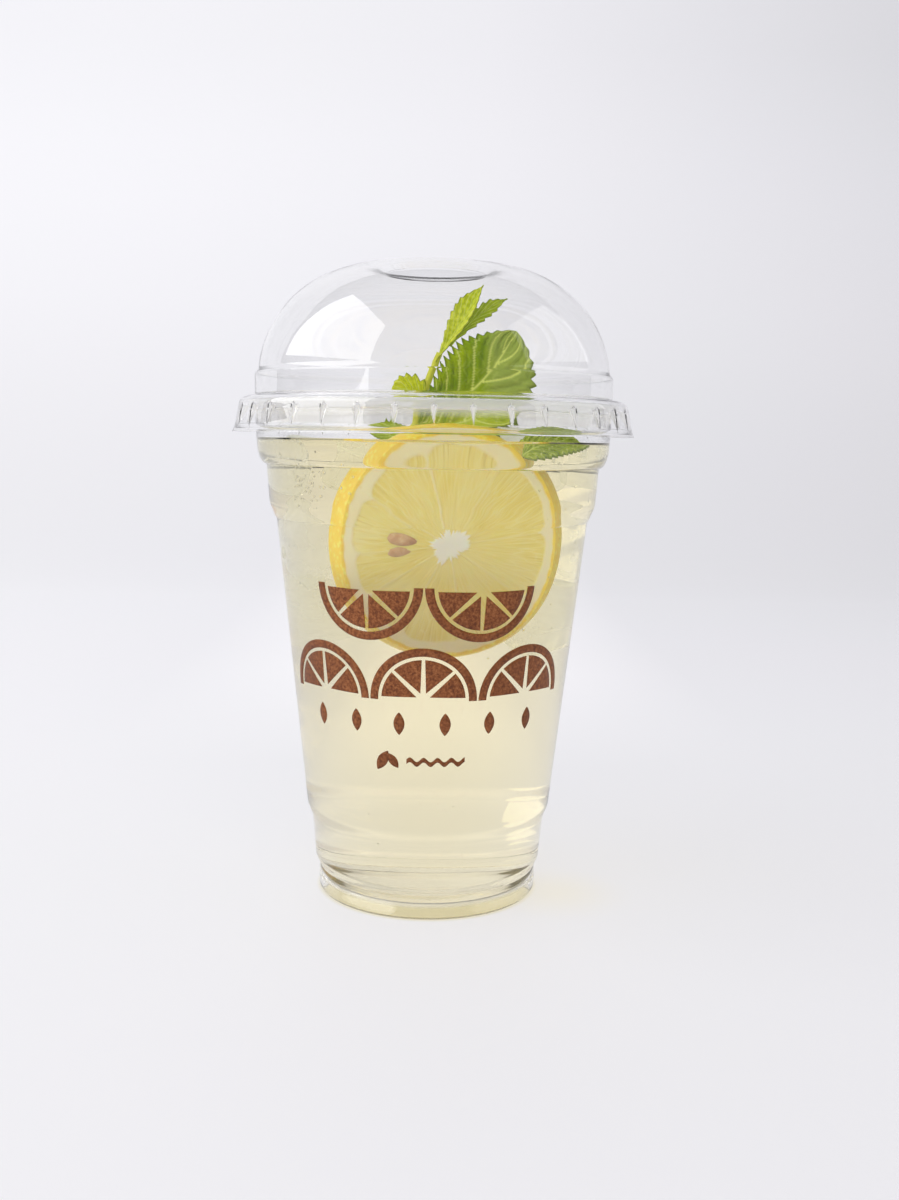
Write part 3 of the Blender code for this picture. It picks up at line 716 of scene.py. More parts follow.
# %% Leaves, in mm: base, bend and tip of the midrib, facing, half widths, folds
LEAVES = {
    "tall": ((0.3, -9.2, 136.9), (6.2, -10.8, 145.8), (11.7, -9.8, 155.6), (-0.45, -0.85, 0.1), 3.3, 3.1, 0.8, 0.65),
    "second": ((3.6, -8.6, 140.8), (10.2, -7.4, 149.4), (17.8, -6.3, 152.8), (0.35, -0.8, 0.35), 1.9, 1.8, 0.4, 0.3),
    "broad": ((-4.4, -8.9, 122.5), (10.5, -14.5, 125.8), (19.8, -12.0, 144.4), (0.1, -1.0, 0.12), 10.8, 12.6, 0.3, -0.12),
    "left": ((-3.0, -8.9, 127.2), (-6.5, -11.5, 131.2), (-10.5, -11.5, 129.2), (-0.1, -1.0, 0.25), 5.0, 4.0, 0.15, 0.2),
    "low_left": ((-6.4, -8.6, 115.9), (-10.0, -9.5, 119.8), (-16.4, -8.0, 120.8), (0.0, -0.8, 0.6), 3.2, 4.4, 0.25, 0.1),
    "low_right": ((-5.0, -8.8, 120.6), (6.0, -13.5, 123.4), (21.5, -15.0, 124.4), (0.1, -0.9, 0.4), 4.6, 4.4, 0.25, 0.1),
    "loose": ((19.5, -30.0, 114.8), (26.0, -30.5, 118.8), (35.5, -18.0, 117.6), (0.25, -0.75, 0.62), 4.0, 4.6, 0.3, 0.2),
}
STEM_PATH = ((-10.5, -8.0, 99.0), (-7.4, -8.4, 112.0), (-4.5, -8.8, 122.5), (-2.4, -9.0, 129.5), (-0.7, -9.0, 134.5),
             (1.2, -9.0, 139.0))


def vein_pattern(s, t, pairs):
    """Share of vein and the swelling between veins, at s across and t along the blade."""
    reach = np.abs(s)
    run = (t - 0.36 * reach ** 0.9) * pairs + np.where(s < 0, 0.0, 0.45)
    off = np.abs(run - np.round(run)) / pairs
    side_vein = (1 - smooth_step(0.006, 0.014, off)) * (1 - smooth_step(0.8, 0.97, reach))
    cross = np.sin(run * math.pi * 2 + 9 * reach) * np.sin(reach * 21 + np.round(run) * 1.7)
    mid = 1 - smooth_step(0.014, 0.04, reach * (0.5 + 0.6 * t))
    fine = (1 - smooth_step(0.0, 0.2, np.abs(cross))) * 0.15 * smooth_step(0.008, 0.03, off)
    swell = np.sin(math.pi * np.clip(np.abs(run - np.round(run)) * 2, 0, 1)) ** 0.7
    swell = swell * smooth_step(0.03, 0.22, reach) * (1 - smooth_step(0.8, 1.0, reach))
    return np.maximum(np.maximum(side_vein, mid), fine), swell


def leaf_mesh(name, pairs, swelling, teeth, tooth, skew, fullness, point, age, pebble_shading):
    base, bend, tip, facing, left, right, fold_left, fold_right = LEAVES[name]
    base, bend, tip = np.array(base), np.array(bend), np.array(tip)
    facing = np.array(facing) / np.linalg.norm(facing)
    rows, columns = 150, 48
    t = np.linspace(0, 1, rows + 1)[:, None]
    s = np.linspace(-1, 1, columns + 1)[None, :]
    spine = base * (1 - t) ** 2 + bend * 2 * t * (1 - t) + tip * t * t
    along = (bend - base) * (1 - t) + (tip - bend) * t
    along = along / np.linalg.norm(along, axis=1)[:, None]
    across = np.cross(along, facing)
    across = across / np.linalg.norm(across, axis=1)[:, None]
    out = np.cross(across, along)
    blade = np.sin(math.pi * np.clip(t, 1e-6, 1 - 1e-6) ** skew) ** fullness
    blade = blade * np.clip((1 - t) / 0.25, 0, 1) ** point
    saw = (t ** 1.5 * teeth) % 1.0
    jag = 1 + tooth * (np.minimum(saw / 0.8, (1 - saw) / 0.2) - 0.5) * (1 - t * 0.3)
    half_width = np.where(s < 0, left, right)
    reach = np.maximum(0.45 * (1 - 0.4 * t), half_width * blade * (1 + (jag - 1) * np.abs(s) ** 3))
    fold = np.where(s < 0, fold_left, fold_right)
    seed = sum(ord(letter) for letter in name)
    vein, swell = vein_pattern(s, t, pairs)
    wave = 0.35 * np.sin(2 * math.pi * 1.1 * t + 2 * s) + 0.22 * np.sin(7 * t + 5 * s + seed) * np.abs(s)
    lift = np.sin(fold) * reach * np.abs(s) + wave * np.abs(s) + swelling * swell * np.minimum(1, reach / 4)
    lift = lift + 0.1 * vein * np.minimum(1, reach / 3)
    spread = s * reach * np.cos(fold)
    middle = spine[:, None, :] + across[:, None, :] * spread[..., None] + out[:, None, :] * lift[..., None]
    thick = 0.16 + 0.10 * vein * (1 - np.abs(s))
    upper = middle + out[:, None, :] * thick[..., None]
    lower = middle - out[:, None, :] * thick[..., None]
    points = np.concatenate([upper.reshape(-1, 3), lower.reshape(-1, 3)]) * MM
    stride, layer = columns + 1, (rows + 1) * (columns + 1)
    faces = []
    for i in range(rows):
        for j in range(columns):
            a = i * stride + j
            faces.append((a, a + 1, a + stride + 1, a + stride))
            faces.append((layer + a, layer + a + stride, layer + a + stride + 1, layer + a + 1))
    edge = [i * stride for i in range(rows + 1)], [i * stride + columns for i in range(rows + 1)]
    for line in (edge[0], edge[1], list(range(stride)), list(range(rows * stride, rows * stride + stride))):
        faces.extend((a, b, layer + b, layer + a) for a, b in zip(line, line[1:]))
    right_side = 0.8 * smooth_step(11.0, 15.0, middle[..., 0]) * (name == "broad")
    grids = {"vein": vein, "edge": np.abs(s), "age": np.full((1, 1), age), "pebble_shading": np.full((1, 1), pebble_shading),
             "pale": right_side, "stalk": np.zeros((1, 1))}
    values = {key: np.tile(np.broadcast_to(grid, vein.shape).ravel(), 2) for key, grid in grids.items()}
    return points, faces, values


def stem_mesh(sides=18):
    """A square-ish stalk with soft corners along its path, thinner towards its top."""
    path = [Vector(p) for p in STEM_PATH]
    line = []
    for a, b, c, d in zip([path[0]] + path, path, path[1:], path[2:] + [path[-1]]):
        for i in range(8):
            t = i / 8
            line.append(0.5 * ((2 * b) + (c - a) * t + (2 * a - 5 * b + 4 * c - d) * t * t
                               + (3 * b - a - 3 * c + d) * t ** 3))
    line.append(path[-1])
    points, faces = [], []
    for index, p in enumerate(line):
        along = (line[min(index + 1, len(line) - 1)] - line[max(index - 1, 0)]).normalized()
        side = along.cross(Vector((0, 1, 0))).normalized()
        front = along.cross(side)
        radius = 1.1 * (1 - 0.35 * index / (len(line) - 1))
        for i in range(sides):
            a = 2 * math.pi * i / sides
            corner = 1 + 0.08 * math.cos(4 * a)
            points.append((p + (side * math.cos(a) + front * math.sin(a)) * radius * corner) * MM)
    for row in range(len(line) - 1):
        faces.extend(band(row * sides, (row + 1) * sides, sides))
    faces += [tuple(range(sides)), tuple((len(line) - 1) * sides + i for i in range(sides))]
    values = {key: np.zeros(len(points)) for key in ("vein", "edge", "age", "pebble_shading", "pale")}
    return np.array(points), faces, {**values, "stalk": np.ones(len(points))}


# %% Mint material
def mint_material():
    surface, tree, shader, output = material("mint leaf")
    place = put(tree, "ShaderNodeTexCoord").outputs["Object"]
    cells = put(tree, "ShaderNodeTexVoronoi", {"Vector": place, "Scale": 950.0})
    patches = put(tree, "ShaderNodeTexNoise", {"Vector": place, "Scale": 130.0, "Detail": 3.0}).outputs["Fac"]
    old_green = ramp(tree, patches, [(0.3, (0.21, 0.36, 0.0)), (0.5, (0.38, 0.52, 0.0)), (0.7, (0.54, 0.68, 0.001))])
    new_green = ramp(tree, patches, [(0.3, (0.80, 0.86, 0.01)), (0.7, (0.97, 0.99, 0.10))])
    green = mix(tree, stored(tree, "age"), old_green, new_green)
    green = mix(tree, stored(tree, "pale"), green, (0.46, 0.56, 0.13))

    def where_pebble_shaded(mask):
        return put(tree, "ShaderNodeMath", {0: mask, 1: stored(tree, "pebble_shading")}, operation="MULTIPLY").outputs[0]

    # painted shade in the creases between the leaf's small bumps, and painted highlight on their tops
    crease_shade = ramp(tree, cells.outputs["Distance"], [(0.38, (0.0,) * 3), (0.66, (0.6,) * 3)])
    bump_highlight = ramp(tree, cells.outputs["Distance"], [(0.08, (0.8,) * 3), (0.32, (0.0,) * 3)])
    green = mix(tree, where_pebble_shaded(crease_shade), green, (0.36, 0.48, 0.0))
    green = mix(tree, where_pebble_shaded(bump_highlight), green, (0.97, 0.98, 0.40))
    veined = mix(tree, stored(tree, "vein"), green, (0.93, 1.0, 0.28))
    rim = put(tree, "ShaderNodeMapRange", {"Value": stored(tree, "edge"), "From Min": 0.90, "From Max": 0.98,
                                           "To Max": 0.6}).outputs["Result"]
    veined = mix(tree, rim, veined, (0.07, 0.13, 0.0))
    veined = mix(tree, stored(tree, "stalk"), veined, (0.80, 0.80, 0.10))
    tree.links.new(veined, shader.inputs["Base Color"])
    relief = put(tree, "ShaderNodeBump", {"Height": cells.outputs["Distance"], "Distance": 0.0003, "Strength": 0.5},
                 invert=True)
    tree.links.new(relief.outputs[0], shader.inputs["Normal"])
    shader.inputs["Roughness"].default_value = 0.45
    shader.inputs["Specular IOR Level"].default_value = 0.04
    through = put(tree, "ShaderNodeBsdfTranslucent", {"Color": mix(tree, 0.25, veined, (0.72, 0.85, 0.02))})
    both = put(tree, "ShaderNodeMixShader", {0: 0.3, 1: shader.outputs[0], 2: through.outputs[0]})
    tree.links.new(both.outputs[0], output.inputs["Surface"])
    return surface


# %% Sprig and loose leaf
def joined(name, parts, surfaces):
    points, faces, values = [], [], {}
    for part_points, part_faces, part_values in parts:
        start = sum(len(p) for p in points)
        points.append(part_points)
        faces.extend(tuple(start + i for i in face) for face in part_faces)
        for key, value in part_values.items():
            values.setdefault(key, []).append(value)
    merged = {key: np.concatenate(value) for key, value in values.items()}
    return face_outwards(add_mesh(name, np.concatenate(points), faces, surfaces, 70, merged))


mint_green = mint_material()
# Each leaf: vein pairs, swelling, teeth, their size, where it is widest, fullness, point, youth, strength of pebble
# shading (painted shade and highlight)
SPRIG = (("tall", 7, 0.4, 9, 0.22, 1.6, 0.6, 0.35, 1.0, 0.75), ("second", 6, 0.3, 7, 0.45, 1.5, 0.6, 0.5, 0.3, 0.4),
         ("broad", 6, 0.8, 15, 0.26, 1.5, 0.5, 0.2, 0.0, 0.05), ("left", 5, 0.4, 6, 0.35, 0.75, 0.6, 0.2, 0.95, 0.3),
         ("low_left", 5, 0.4, 9, 0.18, 1.1, 0.65, 0.1, 0.2, 0.3),
         ("low_right", 6, 0.5, 11, 0.16, 1.1, 0.65, 0.1, 0.4, 0.2))
sprig = joined("mint_sprig_leaves", [stem_mesh()] + [leaf_mesh(*row) for row in SPRIG], [mint_green])
dress(sprig, "mint", "mint_sprig")
loose = joined("mint_loose_leaf", [leaf_mesh("loose", 7, 0.9, 13, 0.2, 1.1, 0.5, 0.1, 0.3, 1.0)], [mint_green])
dress(loose, "mint", "mint_leaf")

# %% [markdown]
# ## Ice
#
# Ice in a drink nearly vanishes, because it bends light almost as water does, and what shows are its
# cloudy parts and the bits above the surface. So each cube has two materials, one for the faces above
# the drink, which meet air, and one for the faces in it, with the small difference that is left there.
# More cubes that are wholly under the surface are made in the same way.

# %% Ice materials
def ice_material(name, index, cloud_from, cloud_to, most, size, depth):
    surface, tree, output = clear_material(name, index, (0.985, 0.995, 0.99), 0.02, (0.96, 0.97, 0.965), 170, depth)
    mixed = output.inputs["Surface"].links[0].from_node
    lit = put(tree, "ShaderNodeBsdfDiffuse", {"Color": (0.93, 0.95, 0.94, 1)})
    lit_through = put(tree, "ShaderNodeBsdfTranslucent", {"Color": (0.93, 0.95, 0.94, 1)})
    frost = put(tree, "ShaderNodeMixShader", {0: 0.5, 1: lit.outputs[0], 2: lit_through.outputs[0]})
    place = put(tree, "ShaderNodeTexCoord").outputs["Object"]
    cloud = put(tree, "ShaderNodeTexNoise", {"Vector": place, "Scale": size, "Detail": 4.0, "Roughness": 0.6})
    share = put(tree, "ShaderNodeMapRange", {"Value": cloud.outputs["Fac"], "From Min": cloud_from,
                                             "From Max": cloud_to, "To Max": most}).outputs["Result"]
    both = put(tree, "ShaderNodeMixShader", {0: share, 1: mixed.outputs[0], 2: frost.outputs[0]})
    tree.links.new(both.outputs[0], output.inputs["Surface"])
    return surface


ice_above = ice_material("ice above the drink", 1.31, 0.28, 0.5, 0.96, 130.0, 0.00015)
ice_below = ice_material("ice in the drink", 1.01, 0.3, 0.7, 0.4, 40.0, 0.00002)

# %% Cubes
ICE = {
    "ice_cube_right": ((17.5, 0.0, 113.2), (15.5, 13.0, 15.6), (12, -9, 28)),
    "ice_cube_far_right": ((29.6, 14.6, 112.6), (11.5, 11.5, 13.0), (-8, 12, -20)),
    "ice_cube_left": ((-32.0, -4.0, 111.4), (14.0, 13.0, 13.5), (14, 8, 12)),
    "ice_cube_back": ((-8.5, 22.0, 111.0), (18.0, 16.5, 15.5), (-8, 12, -24)),
}
SUNK_ICE = {
    "ice_sunk_left": ((-27.0, -8.0, 92.0), (17, 16, 19), (20, 34, 12)),
    "ice_sunk_left_low": ((-24.0, 8.0, 74.0), (17, 17, 16), (-24, 15, 40)),
    "ice_sunk_right": ((25.5, 3.0, 92.5), (16, 17, 18), (-30, 20, 25)),
    "ice_sunk_middle": ((1.0, 14.0, 90.0), (19, 17, 18), (35, -20, 10)),
    "ice_sunk_right_low": ((20.0, 12.0, 73.0), (16, 15, 16), (18, 42, -15)),
}


def ice_cube(name, middle, size, turns, seed):
    bm = bmesh.new()
    bmesh.ops.create_cube(bm, size=2)
    bmesh.ops.subdivide_edges(bm, edges=bm.edges, cuts=15, use_grid_fill=True)
    turn = Matrix.Identity(4)
    for axis, degrees in zip("XYZ", turns):
        turn = Matrix.Rotation(math.radians(degrees), 4, axis) @ turn
    for vert in bm.verts:
        power = 5.0
        length = sum(abs(c) ** power for c in vert.co) ** (1 / power)
        shape = vert.co / length
        shape = Vector(math.copysign(abs(c) ** 0.92, c) for c in shape) * 0.97
        dent = noise.noise(shape * 1.3 + Vector((seed, 0, 0))) * 0.07 + noise.noise(shape * 3.7) * 0.02
        shape = shape * (1 + dent)
        vert.co = turn @ Vector(shape[k] * size[k] * MM / 2 for k in range(3)) + Vector(middle) * MM
    mesh = bpy.data.meshes.new(name)
    bm.to_mesh(mesh)
    bm.free()
    mesh.materials.append(ice_below)
    mesh.materials.append(ice_above)
    for face in mesh.polygons:
        face.material_index = int(face.center.z > DRINK_LEVEL * MM)
    mesh.shade_smooth()
    item = bpy.data.objects.new(name, mesh)
    scene.collection.objects.link(item)
    return face_outwards(item)


for seed, (node, shape) in enumerate(ICE.items()):
    dress(ice_cube(node + "_clear", *shape, seed), "ice", node)
for seed, (name, shape) in enumerate(SUNK_ICE.items()):
    dress(ice_cube(name, *shape, seed + 10), "ice")

# %% [markdown]
# ## The print
#
# The front of the cup carries a brown print. Here it is a plain fruit pattern: a band of half wheels of
# lemon, a row of small drops and a leaf over a short bar. Each shape is a flat patch of small faces.
# Geometry Nodes set out the repeats along the band and wrap them round the wall, which is a cone there,
# as a screen printer's roller does.

# %% Flat shapes of the print, in mm
def flat_shape(outline, inside=None):
    """A flat patch filled with triangles from a closed outline, and from an inner loop if one is given."""
    bm = bmesh.new()
    loops = [outline] + ([inside] if inside else [])
    edges = []
    for loop in loops:
        verts = [bm.verts.new((x * MM, z * MM, 0)) for x, z in loop]
        edges += [bm.edges.new((a, b)) for a, b in zip(verts, verts[1:] + verts[:1])]
    bmesh.ops.triangle_fill(bm, edges=edges, use_beauty=True)
    return bm


def arc(radius, start, end, steps, middle=(0, 0)):
    return [(middle[0] + radius * math.cos(math.radians(start + (end - start) * i / steps)),
             middle[1] + radius * math.sin(math.radians(start + (end - start) * i / steps)))
            for i in range(steps + 1)]


def half_wheel():
    """The rim and four wedges of half a lemon wheel, flat side down."""
    shapes = [arc(12.9, 0, 180, 48) + arc(10.9, 180, 0, 48)]
    for i in range(4):
        low, high = 45 * i + 2.2, 45 * (i + 1) - 2.2
        middle = math.radians((low + high) / 2)
        foot = (1.7 * math.cos(middle), 1.7 * math.sin(middle) + 0.35)
        outline = arc(10.1, low + (2.5 if i == 0 else 0), high - (2.5 if i == 3 else 0), 12)
        shapes.append([foot] + [(x, max(z, 0.55)) for x, z in outline])
    return shapes


def leaf_outline(length, width, lean, middle):
    points = []
    for i in range(41):
        t = i / 40
        side = 1 if i <= 20 else -1
        u = 2 * t if i <= 20 else 2 - 2 * t
        x, z = length * (u - 0.5), side * width * math.sin(math.pi * u) ** 0.8 / 2
        points.append((middle[0] + x * math.cos(lean) - z * math.sin(lean),
                       middle[1] + x * math.sin(lean) + z * math.cos(lean)))
    return points[:-1]


def patch(name, shapes):
    """All the shapes in one flat mesh, with faces of at most about a millimetre."""
    whole = bmesh.new()
    for outline in shapes:
        part = flat_shape(outline)
        for cut in range(2):
            long_edges = [e for e in part.edges if e.calc_length() > 1.6 * MM]
            bmesh.ops.subdivide_edges(part, edges=long_edges, cuts=2)
            bmesh.ops.triangulate(part, faces=part.faces)
        mesh = bpy.data.meshes.new("part")
        part.to_mesh(mesh)
        part.free()
        whole.from_mesh(mesh)
        bpy.data.meshes.remove(mesh)
    mesh = bpy.data.meshes.new(name)
    whole.to_mesh(mesh)
    whole.free()
    item = bpy.data.objects.new(name, mesh)
    scene.collection.objects.link(item)
    return item


# %% Setting out and wrapping as Geometry Nodes
def print_tree():
    tree, ends_in, ends_out = group(
        "wrap the print", "GeometryNodeTree",
        [("Geometry", "NodeSocketGeometry", None), ("Count", "NodeSocketInt", 1), ("Pitch", "NodeSocketFloat", 0.013),
         ("Start", "NodeSocketFloat", 0.0), ("Height", "NodeSocketFloat", 0.05), ("Flip every second", "NodeSocketBool", False),
         ("Flip height", "NodeSocketFloat", 0.0), ("Low height", "NodeSocketFloat", 0.024),
         ("Low radius", "NodeSocketFloat", 0.03205), ("High height", "NodeSocketFloat", 0.0974),
         ("High radius", "NodeSocketFloat", 0.0400), ("Thickness", "NodeSocketFloat", 0.00004),
         ("Gap", "NodeSocketFloat", 0.00003), ("Material", "NodeSocketMaterial", None)],
        [("Geometry", "NodeSocketGeometry")])
    sizes = ends_in.outputs

    def maths(operation, a, b=0.0):
        return put(tree, "ShaderNodeMath", {0: a, 1: b}, operation=operation).outputs[0]

    line = put(tree, "GeometryNodeMeshLine", {"Count": sizes["Count"],
               "Start Location": put(tree, "ShaderNodeCombineXYZ", {0: sizes["Start"], 1: sizes["Height"]}).outputs[0],
               "Offset": put(tree, "ShaderNodeCombineXYZ", {0: sizes["Pitch"]}).outputs[0]})
    odd = maths("MULTIPLY", maths("MODULO", put(tree, "GeometryNodeInputIndex").outputs[0], 2.0),
                sizes["Flip every second"])
    turn = put(tree, "ShaderNodeCombineXYZ", {0: 0.0, 1: 0.0, 2: maths("MULTIPLY", odd, math.pi)}).outputs[0]
    set_out = put(tree, "GeometryNodeInstanceOnPoints",
                  {"Points": line.outputs["Mesh"], "Instance": sizes["Geometry"], "Rotation": turn})
    raised = put(tree, "GeometryNodeTranslateInstances",
                 {"Instances": set_out.outputs[0], "Local Space": False,
                  "Translation": put(tree, "ShaderNodeCombineXYZ",
                                     {1: maths("MULTIPLY", odd, sizes["Flip height"])}).outputs[0]})
    real = put(tree, "GeometryNodeRealizeInstances", {0: raised.outputs[0]})
    thick = put(tree, "GeometryNodeExtrudeMesh", {"Mesh": real.outputs[0], "Offset Scale": sizes["Thickness"],
                                                  "Individual": False})
    backs = put(tree, "GeometryNodeFlipFaces", {"Mesh": real.outputs[0]})
    whole = put(tree, "GeometryNodeJoinGeometry")
    tree.links.new(backs.outputs[0], whole.inputs[0])
    tree.links.new(thick.outputs["Mesh"], whole.inputs[0])
    merged = put(tree, "GeometryNodeMergeByDistance", {"Geometry": whole.outputs[0], "Distance": 0.000004})
    flat = put(tree, "ShaderNodeSeparateXYZ", {0: put(tree, "GeometryNodeInputPosition").outputs[0]}).outputs
    radius = put(tree, "ShaderNodeMapRange",
                 {"Value": flat[1], "From Min": sizes["Low height"], "From Max": sizes["High height"],
                  "To Min": sizes["Low radius"], "To Max": sizes["High radius"]}).outputs["Result"]
    middle = put(tree, "ShaderNodeMapRange",
                 {"Value": sizes["Height"], "From Min": sizes["Low height"], "From Max": sizes["High height"],
                  "To Min": sizes["Low radius"], "To Max": sizes["High radius"]}).outputs["Result"]
    angle = maths("DIVIDE", flat[0], middle)
    reach = maths("ADD", radius, maths("ADD", flat[2], sizes["Gap"]))
    wrapped = put(tree, "ShaderNodeCombineXYZ",
                  {0: maths("MULTIPLY", reach, maths("SINE", angle)),
                   1: maths("MULTIPLY", reach, maths("MULTIPLY", maths("COSINE", angle), -1.0)), 2: flat[1]})
    moved = put(tree, "GeometryNodeSetPosition", {"Geometry": merged.outputs[0], "Position": wrapped.outputs[0]})
    done = put(tree, "GeometryNodeSetMaterial", {"Geometry": moved.outputs[0], "Material": sizes["Material"]})
    tree.links.new(done.outputs[0], ends_out.inputs[0])
    return tree


# %% Ink
def ink_material():
    surface, tree, shader, output = material("brown ink")
    place = put(tree, "ShaderNodeTexCoord").outputs["Object"]
    grain = put(tree, "ShaderNodeTexNoise", {"Vector": place, "Scale": 1500.0, "Detail": 3.0, "Roughness": 0.7})
    clouds = put(tree, "ShaderNodeTexNoise", {"Vector": place, "Scale": 45.0, "Detail": 2.0})
    speckle = ramp(tree, grain.outputs["Fac"], [(0.32, (0.10, 0.024, 0.005)), (0.5, (0.25, 0.075, 0.02)),
                                                (0.68, (0.42, 0.16, 0.055))])
    tree.links.new(mix(tree, put(tree, "ShaderNodeMapRange", {"Value": clouds.outputs["Fac"], "From Min": 0.35,
                                                              "From Max": 0.7, "To Max": 0.55}).outputs["Result"],
                       speckle, (0.12, 0.033, 0.009)), shader.inputs["Base Color"])
    tree.links.new(put(tree, "ShaderNodeMapRange", {"Value": grain.outputs["Fac"], "To Min": 0.35,
                                                    "To Max": 0.6}).outputs["Result"], shader.inputs["Roughness"])
    relief = put(tree, "ShaderNodeBump", {"Height": grain.outputs["Fac"], "Distance": 0.00003, "Strength": 0.5})
    tree.links.new(relief.outputs[0], shader.inputs["Normal"])
    shader.inputs["Specular IOR Level"].default_value = 0.3
    return surface


ink = ink_material()
wrap = print_tree()
band_print = run_tree(patch("half wheels", half_wheel()), wrap, "print_half_wheels", Count=5, Pitch=0.0131,
                      Start=-0.0277, Height=0.0565, **{"Flip every second": True, "Flip height": 0.0272},
                      Material=ink)
dress(band_print, "print")
drop_print = run_tree(patch("drops", [leaf_outline(5.6, 2.7, math.pi / 2, (0, 0))]), wrap, "print_drops", Count=6,
                      Pitch=0.0110, Start=-0.0292, Height=0.0508, Material=ink)
dress(drop_print, "print")
wave_top = [(-3.8 + 0.25 * i, 0.55 * math.sin(0.25 * i * 1.9) + 0.6) for i in range(57)]
small_shapes = [leaf_outline(5.6, 2.6, 1.05, (-9.7, 0)), leaf_outline(4.4, 2.1, 2.2, (-7.1, 0.1)),
                wave_top + [(x, z - 1.2) for x, z in wave_top[::-1]]]
small_print = run_tree(patch("small mark", small_shapes), wrap, "print_small_mark", Start=-0.0015, Height=0.0414,
                       Material=ink)
dress(small_print, "print")

# %% [markdown]
# ## Bubbles
#
# Lemon and ice carry air down with them, and small bubbles cling to the wall. Their places near the wall
# are drawn at random, and Geometry Nodes give each point a round bead of its own size.

# %% Beads
def bead_tree():
    tree, ends_in, ends_out = group(
        "beads on points", "GeometryNodeTree",
        [("Geometry", "NodeSocketGeometry", None), ("Smallest", "NodeSocketFloat", 0.0002),
         ("Largest", "NodeSocketFloat", 0.0006), ("Seed", "NodeSocketInt", 3), ("Material", "NodeSocketMaterial", None)],
        [("Geometry", "NodeSocketGeometry")])
    sizes = ends_in.outputs
    ball = put(tree, "GeometryNodeMeshIcoSphere", {"Radius": 1.0, "Subdivisions": 2})
    size = put(tree, "FunctionNodeRandomValue", {"Min": sizes["Smallest"], "Max": sizes["Largest"], "Seed": sizes["Seed"]},
               data_type="FLOAT")
    for key, value in (("Min", "Smallest"), ("Max", "Largest")):
        socket = [s for s in size.inputs if s.name == key and s.type == "VALUE" and s.enabled][0]
        tree.links.new(sizes[value], socket)
    amount = [s for s in size.outputs if s.enabled][0]
    placed = put(tree, "GeometryNodeInstanceOnPoints", {"Points": sizes["Geometry"], "Instance": ball.outputs["Mesh"],
                                                        "Scale": amount})
    real = put(tree, "GeometryNodeRealizeInstances", {0: placed.outputs[0]})
    done = put(tree, "GeometryNodeSetMaterial", {"Geometry": real.outputs[0], "Material": sizes["Material"]})
    tree.links.new(done.outputs[0], ends_out.inputs[0])
    return tree


def wall_radius(height):
    """Radius of the cup's inner wall at a height, in mm."""
    line = wall(CUP_WALL)
    for (r0, z0), (r1, z1) in zip(line, line[1:]):
        if z0 <= height <= z1:
            return r0 + (r1 - r0) * (height - z0) / max(z1 - z0, 1e-9)
    return line[-1][0]


bubble_clear = clear_material("bubble", 1.25, (1, 1, 1), 0.0, (0.97, 0.97, 0.97), 400, 0.00002)[0]
draw = random.Random(11)
bubble_points = []
for low, high, left, right, count in ((104, 116.5, -150, -110, 26), (101, 112, -143, -131, 70), (84, 112, -60, -20, 18),
                                      (60, 90, -150, -30, 14), (12, 40, -130, -50, 8), (70, 116, 0, 180, 60)):
    for i in range(count):
        height = draw.uniform(low, high)
        angle = math.radians(draw.uniform(left, right))
        reach = wall_radius(height) - draw.uniform(0.7, 1.6)
        bubble_points.append((reach * math.cos(angle) * MM, reach * math.sin(angle) * MM, height * MM))
holder = add_mesh("bubble points", bubble_points, [], [])
bubbles = run_tree(holder, bead_tree(), "bubbles", Smallest=0.0001, Largest=0.00038, Material=bubble_clear)
dress(bubbles, "lemonade")
